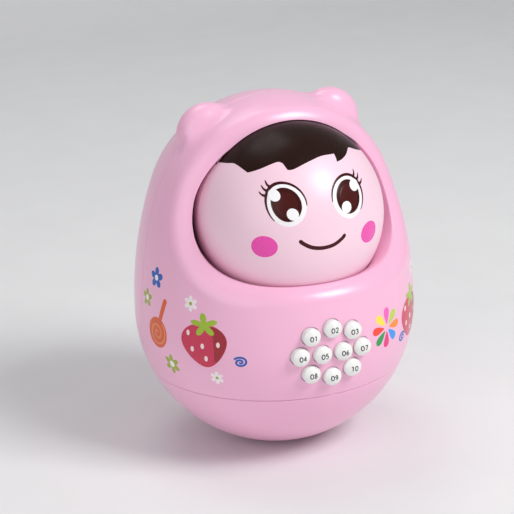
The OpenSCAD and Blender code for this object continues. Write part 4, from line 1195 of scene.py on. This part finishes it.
body_colours = {
    "berry_red": (205, 40, 80), "berry_dark": (160, 8, 36), "seed_white": (250, 225, 225),
    "leaf_green": (160, 190, 40), "orange": (222, 88, 30), "orange_pale": (240, 140, 80),
    "blue": (25, 90, 185), "green": (158, 172, 45), "pale_white": (248, 238, 240),
    "petal_pink": (245, 95, 190), "petal_lime": (185, 215, 70), "petal_orange": (255, 140, 20),
    "petal_blue": (20, 150, 245), "petal_magenta": (235, 40, 125), "petal_green": (10, 155, 70),
    "petal_red": (250, 60, 45), "petal_yellow": (252, 228, 70),
}
for name, films in body_films.items():
    body_ink = ink(name + "_ink", *body_colours[name])
    make_piece("print_" + name, joined(films), body_ink, "root")

# Studio: a pale swept floor and backdrop with soft lamps, and the photograph's camera.
# The key lamp stands to the right and above, as the light falls in the photograph.

FLOOR_HALF = 6.0
FLOOR_MIDDLE = 0.7
SWEEP_R = 0.5
WALL_Y = 1.4
WALL_TOP = 3.0
LAMP_AIM = (0, 0, 0.08)
SKY = (0.96, 0.97, 1.0, 1)
SKY_LEVEL = 0.36
CAMERA_TARGET = np.array([0, 0, 0.075])
CAMERA_TURN = math.radians(-22.3)
CAMERA_RISE = math.radians(18.91)
CAMERA_ROLL = math.radians(-2.0)
CAMERA_FAR = 0.8
CAMERA_AIM_LEFT = 0.00724
CAMERA_AIM_UP = 0.00679
CAMERA_LENS = 125.4
CAMERA_SENSOR = 36.0


def swept_floor():
    """A floor, a quarter round and an upright wall: one outline carried along x."""
    sweep = arc(SWEEP_R, -np.pi / 2, 0, 24, (WALL_Y - SWEEP_R, SWEEP_R))
    outline = np.concatenate([[(-FLOOR_HALF, 0)], sweep, [(WALL_Y, WALL_TOP)]])
    x = np.array([-FLOOR_HALF, -FLOOR_MIDDLE, FLOOR_MIDDLE, FLOOR_HALF])
    points = np.stack(np.broadcast_arrays(x, outline[:, :1], outline[:, 1:]), -1)
    return points.reshape(-1, 3) / MM, sheet_quads(len(outline), len(x))


floor_mesh = make_mesh("floor", *swept_floor())
floor = bpy.data.objects.new("floor", floor_mesh)
bpy.context.scene.collection.objects.link(floor)
floor_mesh.materials.append(finish("floor_paper", moulded, linear(236, 236, 236), 0.9, 0.02))
smooth(floor)


def lamp(name, place, power, size):
    """A square soft lamp aimed at the toy's middle."""
    light = bpy.data.lights.new(name, "AREA")
    light.energy = power
    light.size = size
    lamp_object = bpy.data.objects.new(name, light)
    bpy.context.scene.collection.objects.link(lamp_object)
    turned = (Vector(LAMP_AIM) - Vector(place)).to_track_quat("-Z", "Y")
    lamp_object.matrix_world = Matrix.Translation(place) @ turned.to_matrix().to_4x4()


lamp("key", (0.55, -0.75, 0.95), 10.5, 0.5)
lamp("fill", (-1.0, -0.7, 0.5), 3.0, 0.9)
lamp("top", (-0.1, 0.45, 1.2), 2.5, 0.6)
world = bpy.data.worlds.new("studio")
world.use_nodes = True
world.node_tree.nodes["Background"].inputs["Color"].default_value = SKY
world.node_tree.nodes["Background"].inputs["Strength"].default_value = SKY_LEVEL
bpy.context.scene.world = world


def camera_axes(back):
    """Right, up and back of a camera, rolled about its view."""
    level = unit(np.cross((0, 0, 1), back))
    upright = np.cross(back, level)
    c, s = math.cos(CAMERA_ROLL), math.sin(CAMERA_ROLL)
    return level * c + upright * s, upright * c - level * s, back


level_part = math.cos(CAMERA_RISE)
back = np.array([
    math.sin(CAMERA_TURN) * level_part, -math.cos(CAMERA_TURN) * level_part, math.sin(CAMERA_RISE),
])
eye = CAMERA_TARGET + CAMERA_FAR * back
right, up, _ = camera_axes(back)
aim = CAMERA_TARGET - CAMERA_AIM_LEFT * right + CAMERA_AIM_UP * up
axes = camera_axes(unit(eye - aim))
camera_data = bpy.data.cameras.new("camera")
camera_data.lens = CAMERA_LENS
camera_data.sensor_width = CAMERA_SENSOR
camera = bpy.data.objects.new("camera", camera_data)
bpy.context.scene.collection.objects.link(camera)
turned = Matrix(np.stack(axes, -1).tolist()).to_4x4()
camera.matrix_world = Matrix.Translation(eye.tolist()) @ turned
bpy.context.scene.camera = camera
bpy.context.scene.view_settings.view_transform = "Standard"
